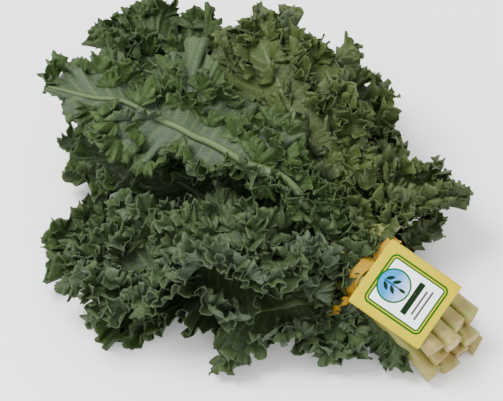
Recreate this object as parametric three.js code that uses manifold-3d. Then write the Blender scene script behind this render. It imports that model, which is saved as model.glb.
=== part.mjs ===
// A bunch of curly kale lying on its side: eleven leaves on cut stems, held by a twist tie with a card.
// Millimetres, +Z up. The bunch lies along X, with the cut stems towards +X and the leaf tips towards -X.
// The leaves are worked out round the middle of the tie, and the whole is then centred over its footprint.
import * as THREE from "three";
import { mergeVertices } from "three/addons/utils/BufferGeometryUtils.js";
import Module from "manifold-3d";

const wasm = await Module();
wasm.setup();

// Stems: three rows, one above the other, gathered in the tie.
const TIE_HEIGHT = 46; // of the tie's middle above the table
const STEM_PITCH = 12; // from stem to stem in a row
const ROW_RISE = 12; // from row to row
const STEM_RADIUS = 5.6; // in the tie
const STEM_END_RADIUS = 6.5; // at the cut ends
const STEM_REACH = 83; // from the tie to the cut ends
const STEM_DROP = 26.3; // the cut ends lie this much lower than the tie
const STEM_SPLAY = 1.15; // the cut ends stand this much wider than in the tie
const TIE_HALF_LENGTH = 16; // the stems run level through the tie for this far each way
const STEM_STAGGER = 0.06; // share of their length by which the stems are cut shorter or longer
const STEM_SIDES = 8;
const STEM_STATIONS = 11;
const CUT_SLANT = 0.25; // rise of the cut across the stem, as a share of its width

// Blades.
const BLADE_THICKNESS = 0.9;
const BLADE_START = 30; // from the tie's middle, along the stem
const RIB_START_RADIUS = 4.6;
const RIB_TIP_RADIUS = 1.2;
const RIB_DEPTH = 1.4; // the rib stands out of the underside by this many radii
const RIB_EDGE_DEPTH = 1.1; // and by this many at its two edges
const RIB_PRESSED = 0.35; // radii between a rib's middle and the table that it is pressed on
const RIB_KNEES = [0.36, 0.68]; // shares of the reach at which the rib's height is given
const SIDE_COLUMNS = 3; // steps from rib to margin
const BLADE_END_SHARE = 0.13; // of the half width, left at the blade's two ends
const EAR_AT = 0.16; // where a long lobe stands along the blade
const EAR_SPAN = 0.13;
const LOBE_PITCH = 44; // from lobe to lobe along a margin
const LOBE_DEPTH = 0.15; // share of the half width
const SWING_PITCH = 78; // from crest to crest of the broad waves
const SWING_ANGLE = 34; // degrees at the margin
const RUFFLE_PITCH = 38; // from crest to crest of the short waves
const RUFFLE_HEIGHT = 6.5;
const SWEEP_START = -42; // degrees: the lowest lobes hang back along the stem
const SWEEP_END = 72; // degrees: the last lobes point past the rib's end
const CURL = 14; // degrees that a half blade turns up from rib to margin

// Where blades lie over each other, their smooth surfaces are pressed this far apart.
const LEAF_GAP = 12;
const STACK_REACH = 14; // two points this close beside each other count as lying over each other
const SETTLE_STEPS = 24;
const FINE_STEPS = 6; // the last steps spread their lifts less
const RIB_FREE_FROM = 0.25; // share of the blade from which its rib lifts freely
const WAVE_CLEARANCE = 3.2; // a wave stays this much nearer to its own blade than to another
const CUT_CLEARANCE = 0.4; // kept all round where one leaf is trimmed by another

// The twist tie and its card.
const BAND_CLEARANCE = 0.7; // between the stems and the band
const BAND_THICKNESS = 1.1;
const BAND_WIDTH = 10;
const BAND_AT = 4; // the band's middle, along the stems
const CARD_START = 12; // the card's near edge, along the stems
const TWIST_LENGTH = 22;
const TWIST_HALF_WIDTH = 3.6;
const TWIST_HALF_THICKNESS = 0.9;
const TWIST_TURNS = 1.25;
const CARD_LENGTH = 60;
const CARD_SHIFT = -3; // sideways, towards the twisted ends
const CARD_WIDTH = 54;
const CARD_THICKNESS = 0.8;
const CARD_ROLL = 26; // degrees that the card leans towards -Y about the stems
const CARD_SLOPE = 17; // degrees that the card falls towards the cut ends
const CARD_CROWN = 3; // the card bows by this much across its width

const COLOURS = {
  leaf: new THREE.MeshStandardMaterial({ color: 0x3d5a33, roughness: 0.6, metalness: 0 }),
  band: new THREE.MeshStandardMaterial({ color: 0xf2b51c, roughness: 0.45, metalness: 0 }),
  card: new THREE.MeshStandardMaterial({ color: 0xffe21a, roughness: 0.35, metalness: 0 }),
};

// Each leaf: its row and place among the stems in the tie, the fan angle that it leaves at (0 is -X,
// positive turns to +Y), the reach of its rib from the tie, the heights of the rib at a third, two thirds
// and the end, a sideways bow, the widths of its two halves, the fold of each above flat, the roll about
// the rib (180 shows the underside), how far the lobes beside the tie hang out on each hand, a phase that
// sets its waves apart from the other leaves', and its stations. Leaves inside the bunch have fewer of them.
// Where two leaves lie over each other, the later one of the table is the upper one.
const LEAVES = [
  { name: "leaf_low_1", row: -1, place: -0.5, fan: -21, reach: 214, rise: [12, 2, 2], bow: 6,
    width: [68, 84], fold: [8, 5], roll: 0, ear: [0, 0], phase: 1.9, rows: 36 },
  { name: "leaf_low_2", row: -1, place: 0.5, fan: -5, reach: 252, rise: [20, 24, 20], bow: 0,
    width: [60, 60], fold: [12, 8], roll: 0, ear: [0, 0], phase: 3.1, rows: 28 },
  { name: "leaf_low_3", row: -1, place: -1.5, fan: -54, reach: 100, rise: [22, 10, 4], bow: 2,
    width: [47, 47], fold: [14, 6], roll: 0, ear: [0, 48], phase: 0.3, rows: 38 },
  { name: "leaf_low_4", row: -1, place: 1.5, fan: 70, reach: 60, rise: [22, 15, 11], bow: -4,
    width: [35, 35], fold: [14, 20], roll: 0, ear: [0, 0], phase: 5.8, rows: 30 },
  { name: "leaf_mid_1", row: 0, place: -1, fan: -38, reach: 202, rise: [44, 42, 34], bow: 2,
    width: [60, 60], fold: [24, 8], roll: 4, ear: [0, 20], phase: 0.9, rows: 40 },
  { name: "leaf_mid_2", row: 0, place: 1, fan: 40, reach: 184, rise: [42, 38, 34], bow: 0,
    width: [56, 56], fold: [10, 22], roll: -2, ear: [4, 0], phase: 3.8, rows: 36 },
  { name: "leaf_mid_3", row: 0, place: 0, fan: 10, reach: 286, rise: [50, 56, 58], bow: 0,
    width: [67, 67], fold: [16, 16], roll: 0, ear: [0, 0], phase: 2.5, rows: 32 },
  { name: "leaf_top_1", row: 1, place: 1.5, fan: 72, reach: 82, rise: [60, 46, 30], bow: -4,
    width: [44, 44], fold: [18, 28], roll: -6, ear: [4, 0], phase: 0.1, rows: 32 },
  { name: "leaf_top_2", row: 1, place: -1.5, fan: -44, reach: 136, rise: [68, 76, 66], bow: 2,
    width: [54, 54], fold: [28, 16], roll: 8, ear: [0, 10], phase: 2.9, rows: 38 },
  { name: "leaf_top_3", row: 1, place: 0.5, fan: 27, reach: 210, rise: [70, 76, 74], bow: 4,
    width: [60, 60], fold: [22, 22], roll: 2, ear: [0, 0], phase: 4.9, rows: 42 },
  { name: "leaf_top_4", row: 1, place: -0.5, fan: -10, reach: 266, rise: [80, 98, 92], bow: -8,
    width: [38, 62], fold: [14, 24], roll: 160, ear: [0, 0], phase: 1.3, rows: 42 },
];

const rad = THREE.MathUtils.degToRad;
const X = new THREE.Vector3(1, 0, 0);
const Y = new THREE.Vector3(0, 1, 0);
const Z = new THREE.Vector3(0, 0, 1);
const mix = THREE.MathUtils.lerp;

// The place of a leaf's stem in the tie.
function stemPlace(leaf) {
  return new THREE.Vector3(0, leaf.place * STEM_PITCH, TIE_HEIGHT + leaf.row * ROW_RISE);
}

// The line of a leaf's stem and rib, from the cut end to the rib's tip.
function ribLine(leaf) {
  const tied = stemPlace(leaf);
  const out = new THREE.Vector3(-Math.cos(rad(leaf.fan)), Math.sin(rad(leaf.fan)), 0);
  const side = new THREE.Vector3(-out.y, out.x, 0);
  const along = (share, bowShare, height) =>
    out
      .clone()
      .multiplyScalar(leaf.reach * share)
      .addScaledVector(side, leaf.bow * bowShare)
      .setZ(height);
  const level = new THREE.Vector3(TIE_HALF_LENGTH, tied.y, tied.z);
  const endHeight = TIE_HEIGHT + leaf.row * ROW_RISE * STEM_SPLAY - STEM_DROP;
  const end = new THREE.Vector3(STEM_REACH, tied.y * STEM_SPLAY, endHeight);
  return new THREE.CatmullRomCurve3(
    [
      level.clone().lerp(end, 1 - STEM_STAGGER * (1 + Math.sin(3 * leaf.phase))),
      level,
      new THREE.Vector3(BAND_WIDTH, tied.y, tied.z),
      new THREE.Vector3(-BAND_WIDTH, tied.y, tied.z),
      new THREE.Vector3(-TIE_HALF_LENGTH, tied.y, tied.z),
      along(RIB_KNEES[0], 0.6, leaf.rise[0]),
      along(RIB_KNEES[1], 1, leaf.rise[1]),
      along(1, 0, leaf.rise[2]),
    ],
    false,
    "centripetal",
  );
}

// Along, side and up at a share of a rib's length, rolled about the rib.
function frameAt(line, share, roll) {
  const along = line.getTangentAt(share);
  const up = Z.clone().addScaledVector(along, -Z.dot(along)).normalize().applyAxisAngle(along, rad(roll));
  return { at: line.getPointAt(share), along, up, side: along.clone().cross(up) };
}

// About how long a smooth margin would be, from the blade's start to the rib's end.
function marginLength(leaf) {
  return leaf.reach - BLADE_START + 0.6 * (leaf.width[0] + leaf.width[1]);
}

// Half the blade's width at u, from 0 at its start to 1 at the rib's end: a full oval cut into lobes, with
// a longer lobe near the start on a hand that hangs out beside the tie.
function halfWidth(leaf, u, hand) {
  const turns = 2 * Math.PI * marginLength(leaf);
  const oval = BLADE_END_SHARE + (1 - BLADE_END_SHARE) * Math.sin(Math.PI * u ** 1.35) ** 0.8;
  const lobes = 1 + LOBE_DEPTH * Math.sin((turns * u) / LOBE_PITCH + 2.1 * leaf.phase + hand);
  const half = hand > 0 ? 0 : 1;
  const ear = leaf.ear[half] * Math.exp(-(((u - EAR_AT) / EAR_SPAN) ** 2));
  return leaf.width[half] * oval * lobes + ear;
}

// One row of a half blade, from the rib out to the margin. waves is 0 for the smooth blade and 1 for the
// waved one. The row starts along the side vector, is folded up, swept towards the tip, and curls up as it
// goes out. The broad waves turn it about the rib and the short ones push it along its own normal.
function bladeRow(leaf, frame, u, hand, waves) {
  const sweep = rad(mix(SWEEP_START, SWEEP_END, u ** 1.3));
  const width = halfWidth(leaf, u, hand);
  const fold = leaf.fold[hand > 0 ? 0 : 1];
  const phase = leaf.phase + (hand > 0 ? 0 : 2.4);
  const calm = 1 - u ** 5; // the waves die away at the tip
  const turns = 2 * Math.PI * marginLength(leaf);
  const swing = calm * Math.sin((turns * u) / SWING_PITCH + phase);
  const ruffle = calm * Math.sin((turns * u) / RUFFLE_PITCH + 1.7 * phase);
  const at = frame.at.clone();
  const row = [];
  for (let step = 1; step <= SIDE_COLUMNS; step++) {
    const t = step / SIDE_COLUMNS;
    const turn = rad(fold + CURL * t + waves * SWING_ANGLE * t * swing);
    const out = frame.side
      .clone()
      .multiplyScalar(hand * Math.cos(turn))
      .addScaledVector(frame.up, Math.sin(turn));
    const normal = frame.up
      .clone()
      .multiplyScalar(Math.cos(turn))
      .addScaledVector(frame.side, -hand * Math.sin(turn));
    at.addScaledVector(out, (Math.cos(sweep) * width) / SIDE_COLUMNS);
    at.addScaledVector(frame.along, (Math.sin(sweep) * width) / SIDE_COLUMNS);
    row.push(at.clone().addScaledVector(normal, waves * RUFFLE_HEIGHT * t * t * ruffle));
  }
  return row;
}

// A blade as rows of points from the margin on one hand to the margin on the other, the rib in the middle.
function bladeGrid(leaf, line, from, waves) {
  const rows = [];
  for (let i = 0; i <= leaf.rows; i++) {
    const u = i / leaf.rows;
    const frame = frameAt(line, mix(from, 1, u), leaf.roll);
    const left = bladeRow(leaf, frame, u, 1, waves);
    const right = bladeRow(leaf, frame, u, -1, waves);
    rows.push([...left.reverse(), frame.at, ...right]);
  }
  return rows;
}

// The share of a line at which the leaf is first this far past the tie.
function sharePast(line, leaf, distance) {
  const tied = stemPlace(leaf);
  let share = 0;
  while (line.getPointAt(share).x > 0 || line.getPointAt(share).distanceTo(tied) < distance) share += 0.002;
  return share;
}

// The stem's radius, where 0 is the cut end, 1 the tie, and it goes on to the start of the rib.
function stemRadius(share) {
  return share < 1
    ? mix(STEM_END_RADIUS, STEM_RADIUS, share)
    : mix(STEM_RADIUS, RIB_START_RADIUS, Math.min(share - 1, 0.5) * 2);
}

function ribRadius(u) {
  return mix(RIB_START_RADIUS, RIB_TIP_RADIUS, u ** 0.8);
}

// The half thickness of a leaf at a grid point: the rib's depth in the middle column.
function thickAt(leaf, i, j) {
  return j === SIDE_COLUMNS ? RIB_DEPTH * ribRadius(i / leaf.rows) : BLADE_THICKNESS / 2;
}

// How low a grid point can lie: a rib on the table is pressed flat to part of its depth.
function pressedAt(leaf, i, j) {
  return j === SIDE_COLUMNS ? RIB_PRESSED * ribRadius(i / leaf.rows) : BLADE_THICKNESS / 2;
}

// Stacks the smooth blades in the order of the table: where two of them lie over each other, the later one
// is lifted and the earlier one pressed down until they keep the leaf gap. The lifts are spread over each
// blade so that it bends as one sheet, and fade towards the stem, which the tie holds.
function settle(grown) {
  for (let step = 0; step < SETTLE_STEPS; step++) {
    const lifts = grown.map((leaf, a) =>
      leaf.smooth.map((row, i) =>
        row.map((point, j) => {
          const lift = new THREE.Vector3();
          grown.forEach((other, b) => {
            if (a !== b) lift.z += stackLift(leaf, i, j, point, other, a > b ? 1 : -1);
          });
          return lift;
        }),
      ),
    );
    grown.forEach((leaf, a) => {
      for (let pass = step < SETTLE_STEPS - FINE_STEPS ? 3 : 1; pass > 0; pass--) spread(lifts[a]);
      leaf.smooth.forEach((row, i) => {
        const ribFree = THREE.MathUtils.smoothstep(i / leaf.rows, 0, RIB_FREE_FROM);
        row.forEach((point, j) => {
          const out = Math.abs(j - SIDE_COLUMNS) / SIDE_COLUMNS;
          point.addScaledVector(lifts[a][i][j], mix(ribFree, 1, 0.7 * out));
          point.z = Math.max(point.z, pressedAt(leaf, i, j));
        });
      });
    });
  }
}

// Half of what a point of one leaf lacks in height over (hand 1) or under (hand -1) another leaf.
function stackLift(leaf, i, j, point, other, hand) {
  let lack = 0;
  other.smooth.forEach((row, k) => {
    const gap = LEAF_GAP * Math.min(1, 2 * (i / leaf.rows + k / other.rows));
    row.forEach((q, m) => {
      const beside = Math.hypot(point.x - q.x, point.y - q.y) / STACK_REACH;
      if (beside > 1) return;
      const want = gap + thickAt(leaf, i, j) + thickAt(other, k, m);
      lack = Math.max(lack, (want - hand * (point.z - q.z)) * (1 - beside * beside));
    });
  });
  return (hand * lack) / 2;
}

// Averages a grid of vectors with their neighbours.
function spread(grid) {
  const was = grid.map((row) => row.map((v) => v.clone()));
  grid.forEach((row, i) =>
    row.forEach((v, j) => {
      const around = [was[i - 1]?.[j], was[i + 1]?.[j], was[i][j - 1], was[i][j + 1]].filter(Boolean);
      v.multiplyScalar(0.4);
      around.forEach((w) => v.addScaledVector(w, 0.6 / around.length));
    }),
  );
}

// Puts the waves on a settled blade. A wave is lowered until its crest is nearer to its own blade than to
// any other leaf's, by the wave clearance, and then rests on the table where it would go through it.
function waved(leaf, others) {
  const shares = leaf.smooth.map((row, i) =>
    row.map((point, j) => {
      const wave = leaf.waves[i][j];
      for (let share = 1; share > 0; share -= 0.1) {
        const crest = point.clone().addScaledVector(wave, share);
        const reach = share * wave.length() + WAVE_CLEARANCE;
        const clear = (other) =>
          other.smooth.every((beside, k) =>
            beside.every((q, m) => crest.distanceTo(q) > reach + thickAt(other, k, m)),
          );
        if (others.every(clear)) return new THREE.Vector3(share, 0, 0);
      }
      return new THREE.Vector3();
    }),
  );
  spread(shares);
  return leaf.smooth.map((row, i) =>
    row.map((point, j) => {
      const at = point.clone().addScaledVector(leaf.waves[i][j], shares[i][j].x);
      at.z = Math.max(at.z, BLADE_THICKNESS / 2);
      return at;
    }),
  );
}

// A closed three.js geometry from points and triangles.
function geometryOf(points, triangles) {
  const geometry = new THREE.BufferGeometry();
  const places = points.flatMap((point) => point.toArray());
  geometry.setAttribute("position", new THREE.Float32BufferAttribute(places, 3));
  geometry.setIndex(triangles.flat());
  return geometry;
}

function solidOf(geometry) {
  const bare = geometry.clone();
  bare.deleteAttribute("normal");
  bare.deleteAttribute("uv");
  const merged = mergeVertices(bare, 1e-4);
  return new wasm.Manifold(
    new wasm.Mesh({
      numProp: 3,
      vertProperties: new Float32Array(merged.attributes.position.array),
      triVerts: new Uint32Array(merged.index.array),
    }),
  );
}

// The ring of points round one row of a blade: over the upper face from the left margin to the right one,
// and back along the lower face. The rib's edges are two more columns beside the middle, and the rib stands
// out on the lower face. extra makes the blade thicker and wider all round.
function bladeRing(leaf, i, extra) {
  const { blade } = leaf;
  const row = blade[i];
  const radius = ribRadius(i / leaf.rows);
  const bulge = THREE.MathUtils.smoothstep(i / leaf.rows, 0, 0.2);
  const half = BLADE_THICKNESS / 2 + extra;
  const upper = [];
  const lower = [];
  const add = (point, normal, above, below) => {
    upper.push(point.clone().addScaledVector(normal, above));
    lower.unshift(point.clone().addScaledVector(normal, -below));
  };
  row.forEach((point, j) => {
    const down = blade[Math.min(i + 1, leaf.rows)][j].clone().sub(blade[Math.max(i - 1, 0)][j]);
    const across = row[Math.min(j + 1, row.length - 1)].clone().sub(row[Math.max(j - 1, 0)]);
    const normal = down.cross(across).normalize();
    if (j === SIDE_COLUMNS) {
      const edges = [row[j - 1], row[j + 1]].map((q) =>
        point.clone().lerp(q, Math.min(0.6, radius / point.distanceTo(q))),
      );
      add(edges[0], normal, half, Math.max(half, RIB_EDGE_DEPTH * radius + extra));
      add(point, normal, radius * mix(1, 0.3, bulge) + extra, radius * mix(1, RIB_DEPTH, bulge) + extra);
      add(edges[1], normal, half, Math.max(half, RIB_EDGE_DEPTH * radius + extra));
    } else {
      const inner = row[j < SIDE_COLUMNS ? j + 1 : j - 1];
      const margin = j === 0 || j === row.length - 1;
      const out = margin ? point.clone().sub(inner).setLength(extra) : new THREE.Vector3();
      add(out.add(point), normal, half, half);
    }
  });
  return [...upper, ...lower];
}

// The ring of points round the stem at a share of the leaf's line, in the same order as round a blade.
function stemRing(leaf, share, radius, slant) {
  const { at, along, up, side } = frameAt(leaf.line, share, leaf.roll);
  return Array.from({ length: STEM_SIDES }, (_, k) => {
    const turn = (2 * Math.PI * k) / STEM_SIDES;
    return at
      .clone()
      .addScaledVector(side, radius * Math.cos(turn))
      .addScaledVector(up, radius * Math.sin(turn))
      .addScaledVector(along, slant * radius * Math.cos(turn + leaf.phase));
  });
}

// The shares of the way round at which the ring of a blade meets the ring of a stem: the blade's columns
// all meet its two sides, and the rib's columns lie over and under it.
function blendShares() {
  const side = (share) => Array(SIDE_COLUMNS).fill(share);
  const over = [1 / 12, 1 / 4, 5 / 12];
  const under = over.map((share) => share + 1 / 2);
  return [...side(0), ...over, ...side(1 / 2), ...side(1 / 2), ...under, ...side(1)];
}

// A leaf as one closed solid: a stem of even rings, the blade's rings, and the triangles between them.
function leafSolid(leaf, extra) {
  const points = [];
  const triangles = [];
  for (let i = 0; i < STEM_STATIONS; i++) {
    const share = (leaf.from * i) / STEM_STATIONS;
    const radius = stemRadius(share / leaf.tied) + extra;
    points.push(...stemRing(leaf, share, radius, i === 0 ? CUT_SLANT : 0));
  }
  for (let i = 0; i < STEM_STATIONS - 1; i++)
    for (let k = 0; k < STEM_SIDES; k++) {
      const [a, a1] = [i * STEM_SIDES + k, i * STEM_SIDES + ((k + 1) % STEM_SIDES)];
      triangles.push([a, a + STEM_SIDES, a1], [a1, a + STEM_SIDES, a1 + STEM_SIDES]);
    }
  for (let k = 1; k < STEM_SIDES - 1; k++) triangles.push([0, k, k + 1]);

  const first = points.length;
  const stemEnd = first - STEM_SIDES;
  for (let i = 0; i <= leaf.rows; i++) points.push(...bladeRing(leaf, i, extra));
  const shares = blendShares();
  const count = shares.length;
  let [k, m] = [0, 0];
  while (k < STEM_SIDES || m < count) {
    const [a, b] = [stemEnd + (k % STEM_SIDES), first + (m % count)];
    const nextStem = k < STEM_SIDES ? (k + 1) / STEM_SIDES : 2;
    const nextBlade = m < count ? (shares[m + 1] ?? 1) : 2;
    if (nextStem <= nextBlade) triangles.push([a, b, stemEnd + (++k % STEM_SIDES)]);
    else triangles.push([a, b, first + (++m % count)]);
  }
  const half = count / 2;
  for (let i = 0; i < leaf.rows; i++)
    for (let j = 0; j < count; j++) {
      const [a, a1] = [first + i * count + j, first + i * count + ((j + 1) % count)];
      const [b, b1] = [a + count, a1 + count];
      // The diagonal is the shorter one on the upper face, and the lower face takes the same one.
      const upper = j < half ? j : count - 2 - j;
      const corner = first + i * count + Math.max(upper, 0);
      const rising = points[corner].distanceTo(points[corner + count + 1]);
      const falling = points[corner + 1].distanceTo(points[corner + count]);
      if (rising < falling === j < half) triangles.push([a, b, b1], [a, b1, a1]);
      else triangles.push([a, b, a1], [a1, b, b1]);
    }
  const last = first + leaf.rows * count;
  for (let j = 0; j < half - 1; j++) {
    const [p, q, r, s] = [last + j, last + j + 1, last + count - 2 - j, last + count - 1 - j];
    triangles.push([p, s, r], [p, r, q]);
  }
  for (const point of points) point.z = Math.max(point.z, 0);
  return solidOf(geometryOf(points, triangles));
}

// The largest body of a solid: what a cut leaves loose is dropped.
function largestBody(solid) {
  return solid.decompose().reduce((most, body) => (body.volume() > most.volume() ? body : most));
}

function meshOf(name, solid, material) {
  const { numProp, vertProperties, triVerts } = solid.getMesh();
  const geometry = new THREE.BufferGeometry();
  geometry.setAttribute("position", new THREE.BufferAttribute(new Float32Array(vertProperties), numProp));
  geometry.setIndex(new THREE.BufferAttribute(new Uint32Array(triVerts), 1));
  geometry.computeVertexNormals();
  const mesh = new THREE.Mesh(geometry, material);
  mesh.name = name;
  return mesh;
}

// The line that a band pulled round the stems takes, this far out from their centres: an arc round each
// corner stem and straight runs between them. Angles run counter-clockwise in the plane of Y and Z.
function bandOutline(away) {
  const wide = 1.5 * STEM_PITCH;
  const corners = [
    [wide, ROW_RISE],
    [-wide, ROW_RISE],
    [-wide, -ROW_RISE],
    [wide, -ROW_RISE],
  ];
  const outline = new THREE.Path();
  corners.forEach(([y, z], k) => {
    const [yNext, zNext] = corners[(k + 1) % corners.length];
    const [yLast, zLast] = corners[(k + corners.length - 1) % corners.length];
    const begin = Math.atan2(z - zLast, y - yLast) - Math.PI / 2;
    const end = Math.atan2(zNext - z, yNext - y) - Math.PI / 2;
    outline.absarc(y, z, away, begin, end, false);
  });
  return outline;
}

// The band lies in the plane of Y and Z, and its shape is drawn in X and Y and stood up.
function bandSolid() {
  const inner = STEM_RADIUS + BAND_CLEARANCE;
  const ring = new THREE.Shape(bandOutline(inner + BAND_THICKNESS).getPoints(3));
  ring.holes.push(new THREE.Path(bandOutline(inner).getPoints(3)));
  const geometry = new THREE.ExtrudeGeometry(ring, { depth: BAND_WIDTH, bevelEnabled: false });
  geometry.translate(0, 0, BAND_AT - BAND_WIDTH / 2);
  geometry.applyMatrix4(new THREE.Matrix4().makeBasis(Y, Z, X));
  geometry.translate(0, 0, TIE_HEIGHT);
  return solidOf(geometry).add(twistSolid());
}

// The two ends of the tie, twisted together: a flat bar that turns as it goes out from the band.
function twistSolid() {
  const root = new THREE.Vector3(BAND_AT, -1.5 * STEM_PITCH - STEM_RADIUS - BAND_CLEARANCE, TIE_HEIGHT);
  const out = new THREE.Vector3(-0.25, -0.8, -0.55).normalize();
  const wide = X.clone().addScaledVector(out, -out.x).normalize();
  const flat = out.clone().cross(wide);
  const stations = 9;
  const corners = [];
  for (let i = 0; i <= stations; i++) {
    const turn = (2 * Math.PI * TWIST_TURNS * i) / stations;
    const at = root.clone().addScaledVector(out, (TWIST_LENGTH * i) / stations);
    for (const [w, f] of [[1, 1], [-1, 1], [-1, -1], [1, -1]]) {
      const across = w * TWIST_HALF_WIDTH;
      const through = f * TWIST_HALF_THICKNESS;
      corners.push(
        at
          .clone()
          .addScaledVector(wide, across * Math.cos(turn) - through * Math.sin(turn))
          .addScaledVector(flat, across * Math.sin(turn) + through * Math.cos(turn)),
      );
    }
  }
  const triangles = [];
  for (let i = 0; i < stations; i++)
    for (let k = 0; k < 4; k++) {
      const [a, b] = [4 * i + k, 4 * i + ((k + 1) % 4)];
      triangles.push([a, b, b + 4], [a, b + 4, a + 4]);
    }
  const last = 4 * stations;
  triangles.push([0, 2, 1], [0, 3, 2], [last, last + 1, last + 2], [last, last + 2, last + 3]);
  return solidOf(geometryOf(corners, triangles));
}

// The card: a plate bowed across its width, which starts over the band and falls with the stems.
function cardSolid() {
  const shape = new THREE.Shape();
  const half = CARD_WIDTH / 2;
  const arcRadius = (half * half + CARD_CROWN * CARD_CROWN) / (2 * CARD_CROWN);
  const spread = Math.asin(half / arcRadius);
  const middle = Math.PI / 2;
  shape.absarc(0, -arcRadius, arcRadius, middle - spread, middle + spread, false);
  shape.absarc(0, -arcRadius, arcRadius + CARD_THICKNESS, middle + spread, middle - spread, true);
  shape.closePath();
  const geometry = new THREE.ExtrudeGeometry(shape, {
    depth: CARD_LENGTH,
    bevelEnabled: false,
    curveSegments: 8,
  });
  // The section is drawn in the plane of Y and Z, and runs out along X.
  geometry.applyMatrix4(new THREE.Matrix4().makeBasis(Y, Z, X));
  const reach = 1.5 * STEM_PITCH * Math.sin(rad(CARD_ROLL)) + ROW_RISE * Math.cos(rad(CARD_ROLL));
  const height = reach + STEM_RADIUS + BAND_CLEARANCE + BAND_THICKNESS + CARD_CROWN + CUT_CLEARANCE;
  geometry.translate(0, CARD_SHIFT, 0);
  geometry.rotateY(rad(CARD_SLOPE));
  geometry.translate(CARD_START, 0, height);
  geometry.rotateX(rad(CARD_ROLL));
  geometry.translate(0, 0, TIE_HEIGHT);
  return solidOf(geometry);
}

// Grow the leaves, settle them, wave their blades, and trim what still crosses.
const grown = LEAVES.map((leaf) => {
  const line = ribLine(leaf);
  const from = sharePast(line, leaf, BLADE_START);
  const tied = sharePast(line, leaf, 0);
  const smooth = bladeGrid(leaf, line, from, 0);
  const waves = bladeGrid(leaf, line, from, 1);
  waves.forEach((row, i) => row.forEach((point, j) => point.sub(smooth[i][j])));
  return { ...leaf, line, from, tied, smooth, waves };
});
settle(grown);
for (const leaf of grown)
  leaf.blade = waved(
    leaf,
    grown.filter((other) => other !== leaf),
  );

const solids = [
  { name: "tie_band", solid: bandSolid(), material: COLOURS.band },
  { name: "tie_card", solid: cardSolid(), material: COLOURS.card },
];
const taken = solids.map((piece) => piece.solid);
for (const leaf of grown.reverse()) {
  let solid = leafSolid(leaf, 0);
  for (const other of taken) solid = solid.subtract(other);
  solids.push({ name: leaf.name, solid: largestBody(solid), material: COLOURS.leaf });
  taken.push(leafSolid(leaf, CUT_CLEARANCE));
}

const bunch = new THREE.Group();
bunch.name = "kale_bunch";
for (const { name, solid, material } of solids) bunch.add(meshOf(name, solid, material));
const box = new THREE.Box3().setFromObject(bunch);
bunch.position.set(-(box.min.x + box.max.x) / 2, -(box.min.y + box.max.y) / 2, -box.min.z);

export default bunch;
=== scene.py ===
import logging
import math
from dataclasses import dataclass, field
from enum import Enum

import bpy
import numpy as np
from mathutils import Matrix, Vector


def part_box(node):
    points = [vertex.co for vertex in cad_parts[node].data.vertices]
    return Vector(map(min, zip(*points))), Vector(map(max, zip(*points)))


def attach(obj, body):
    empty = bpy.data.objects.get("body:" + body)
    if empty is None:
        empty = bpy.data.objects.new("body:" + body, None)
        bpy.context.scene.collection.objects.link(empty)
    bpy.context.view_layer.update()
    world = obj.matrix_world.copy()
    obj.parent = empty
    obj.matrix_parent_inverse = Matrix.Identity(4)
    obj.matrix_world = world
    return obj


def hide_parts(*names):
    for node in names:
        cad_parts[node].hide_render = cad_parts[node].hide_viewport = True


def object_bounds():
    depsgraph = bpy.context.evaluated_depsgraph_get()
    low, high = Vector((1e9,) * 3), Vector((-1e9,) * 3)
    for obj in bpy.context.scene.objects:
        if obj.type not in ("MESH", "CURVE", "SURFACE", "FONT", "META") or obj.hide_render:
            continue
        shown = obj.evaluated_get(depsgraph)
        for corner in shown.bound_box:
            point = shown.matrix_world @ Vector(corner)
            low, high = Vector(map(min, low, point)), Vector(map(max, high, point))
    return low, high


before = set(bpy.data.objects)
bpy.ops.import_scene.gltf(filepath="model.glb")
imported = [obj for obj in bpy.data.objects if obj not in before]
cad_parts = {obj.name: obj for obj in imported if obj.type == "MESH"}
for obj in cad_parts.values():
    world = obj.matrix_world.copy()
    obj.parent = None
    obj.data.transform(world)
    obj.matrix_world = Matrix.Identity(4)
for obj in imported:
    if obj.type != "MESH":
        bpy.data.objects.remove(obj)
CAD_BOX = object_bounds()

logging.basicConfig(level=logging.INFO, format="%(message)s")
LOG = logging.getLogger("kale_bunch")
Colour = tuple[float, float, float]
Pair = tuple[float, float]
MM = 0.001
FULL_TURN = 2 * math.pi
Z_UP = np.array([0.0, 0.0, 1.0])
TABLE_CLEARANCE = 0.03  # of the stems and the tie's ends, in millimetres
BLADE_CLEARANCE = 0.05
BOX_ROOM = np.array([7.0, 7.0, 4.0])  # that frills may take up past the part's box
EASED_SHARE = 0.1  # what is left of the way past that
Array = np.ndarray
Rng = np.random.Generator
Material = bpy.types.Material
Socket = bpy.types.NodeSocket


class Hand(Enum):
    """The half of a blade: left is towards the side vector of its rib."""

    LEFT = 1
    RIGHT = -1

    @property
    def half(self) -> int:
        """This hand's place in a pair of values, left first."""
        return (1 - self.value) // 2

    @property
    def edge(self) -> int:
        """The column of a blade's grid at this hand's margin."""
        return -self.half


class Tone(Enum):
    """How a leaf is coloured: the upper face, the lower face and the margin."""

    FRESH = ("fresh", (0.014, 0.034, 0.004), (0.034, 0.057, 0.027), (0.034, 0.068, 0.008))
    DEEP = ("deep", (0.012, 0.028, 0.004), (0.024, 0.041, 0.014), (0.032, 0.060, 0.007))
    OLIVE = ("olive", (0.026, 0.044, 0.006), (0.038, 0.056, 0.021), (0.062, 0.086, 0.017))
    BLUE = ("blue", (0.017, 0.034, 0.009), (0.033, 0.052, 0.027), (0.048, 0.074, 0.022))


def unit(vectors: Array) -> Array:
    """Vectors over their own lengths."""
    return vectors / np.maximum(np.linalg.norm(vectors, axis=-1, keepdims=True), 1e-9)


def bell(values: Array) -> Array:
    """exp(-v^2): 1 at 0, and next to nothing from 2 on."""
    return np.exp(-(values**2))


def blunt(values: Array, power: float) -> Array:
    """Values to a power below 1, each with its own sign, which squares off a round section."""
    return np.sign(values) * np.abs(values) ** power


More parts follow.
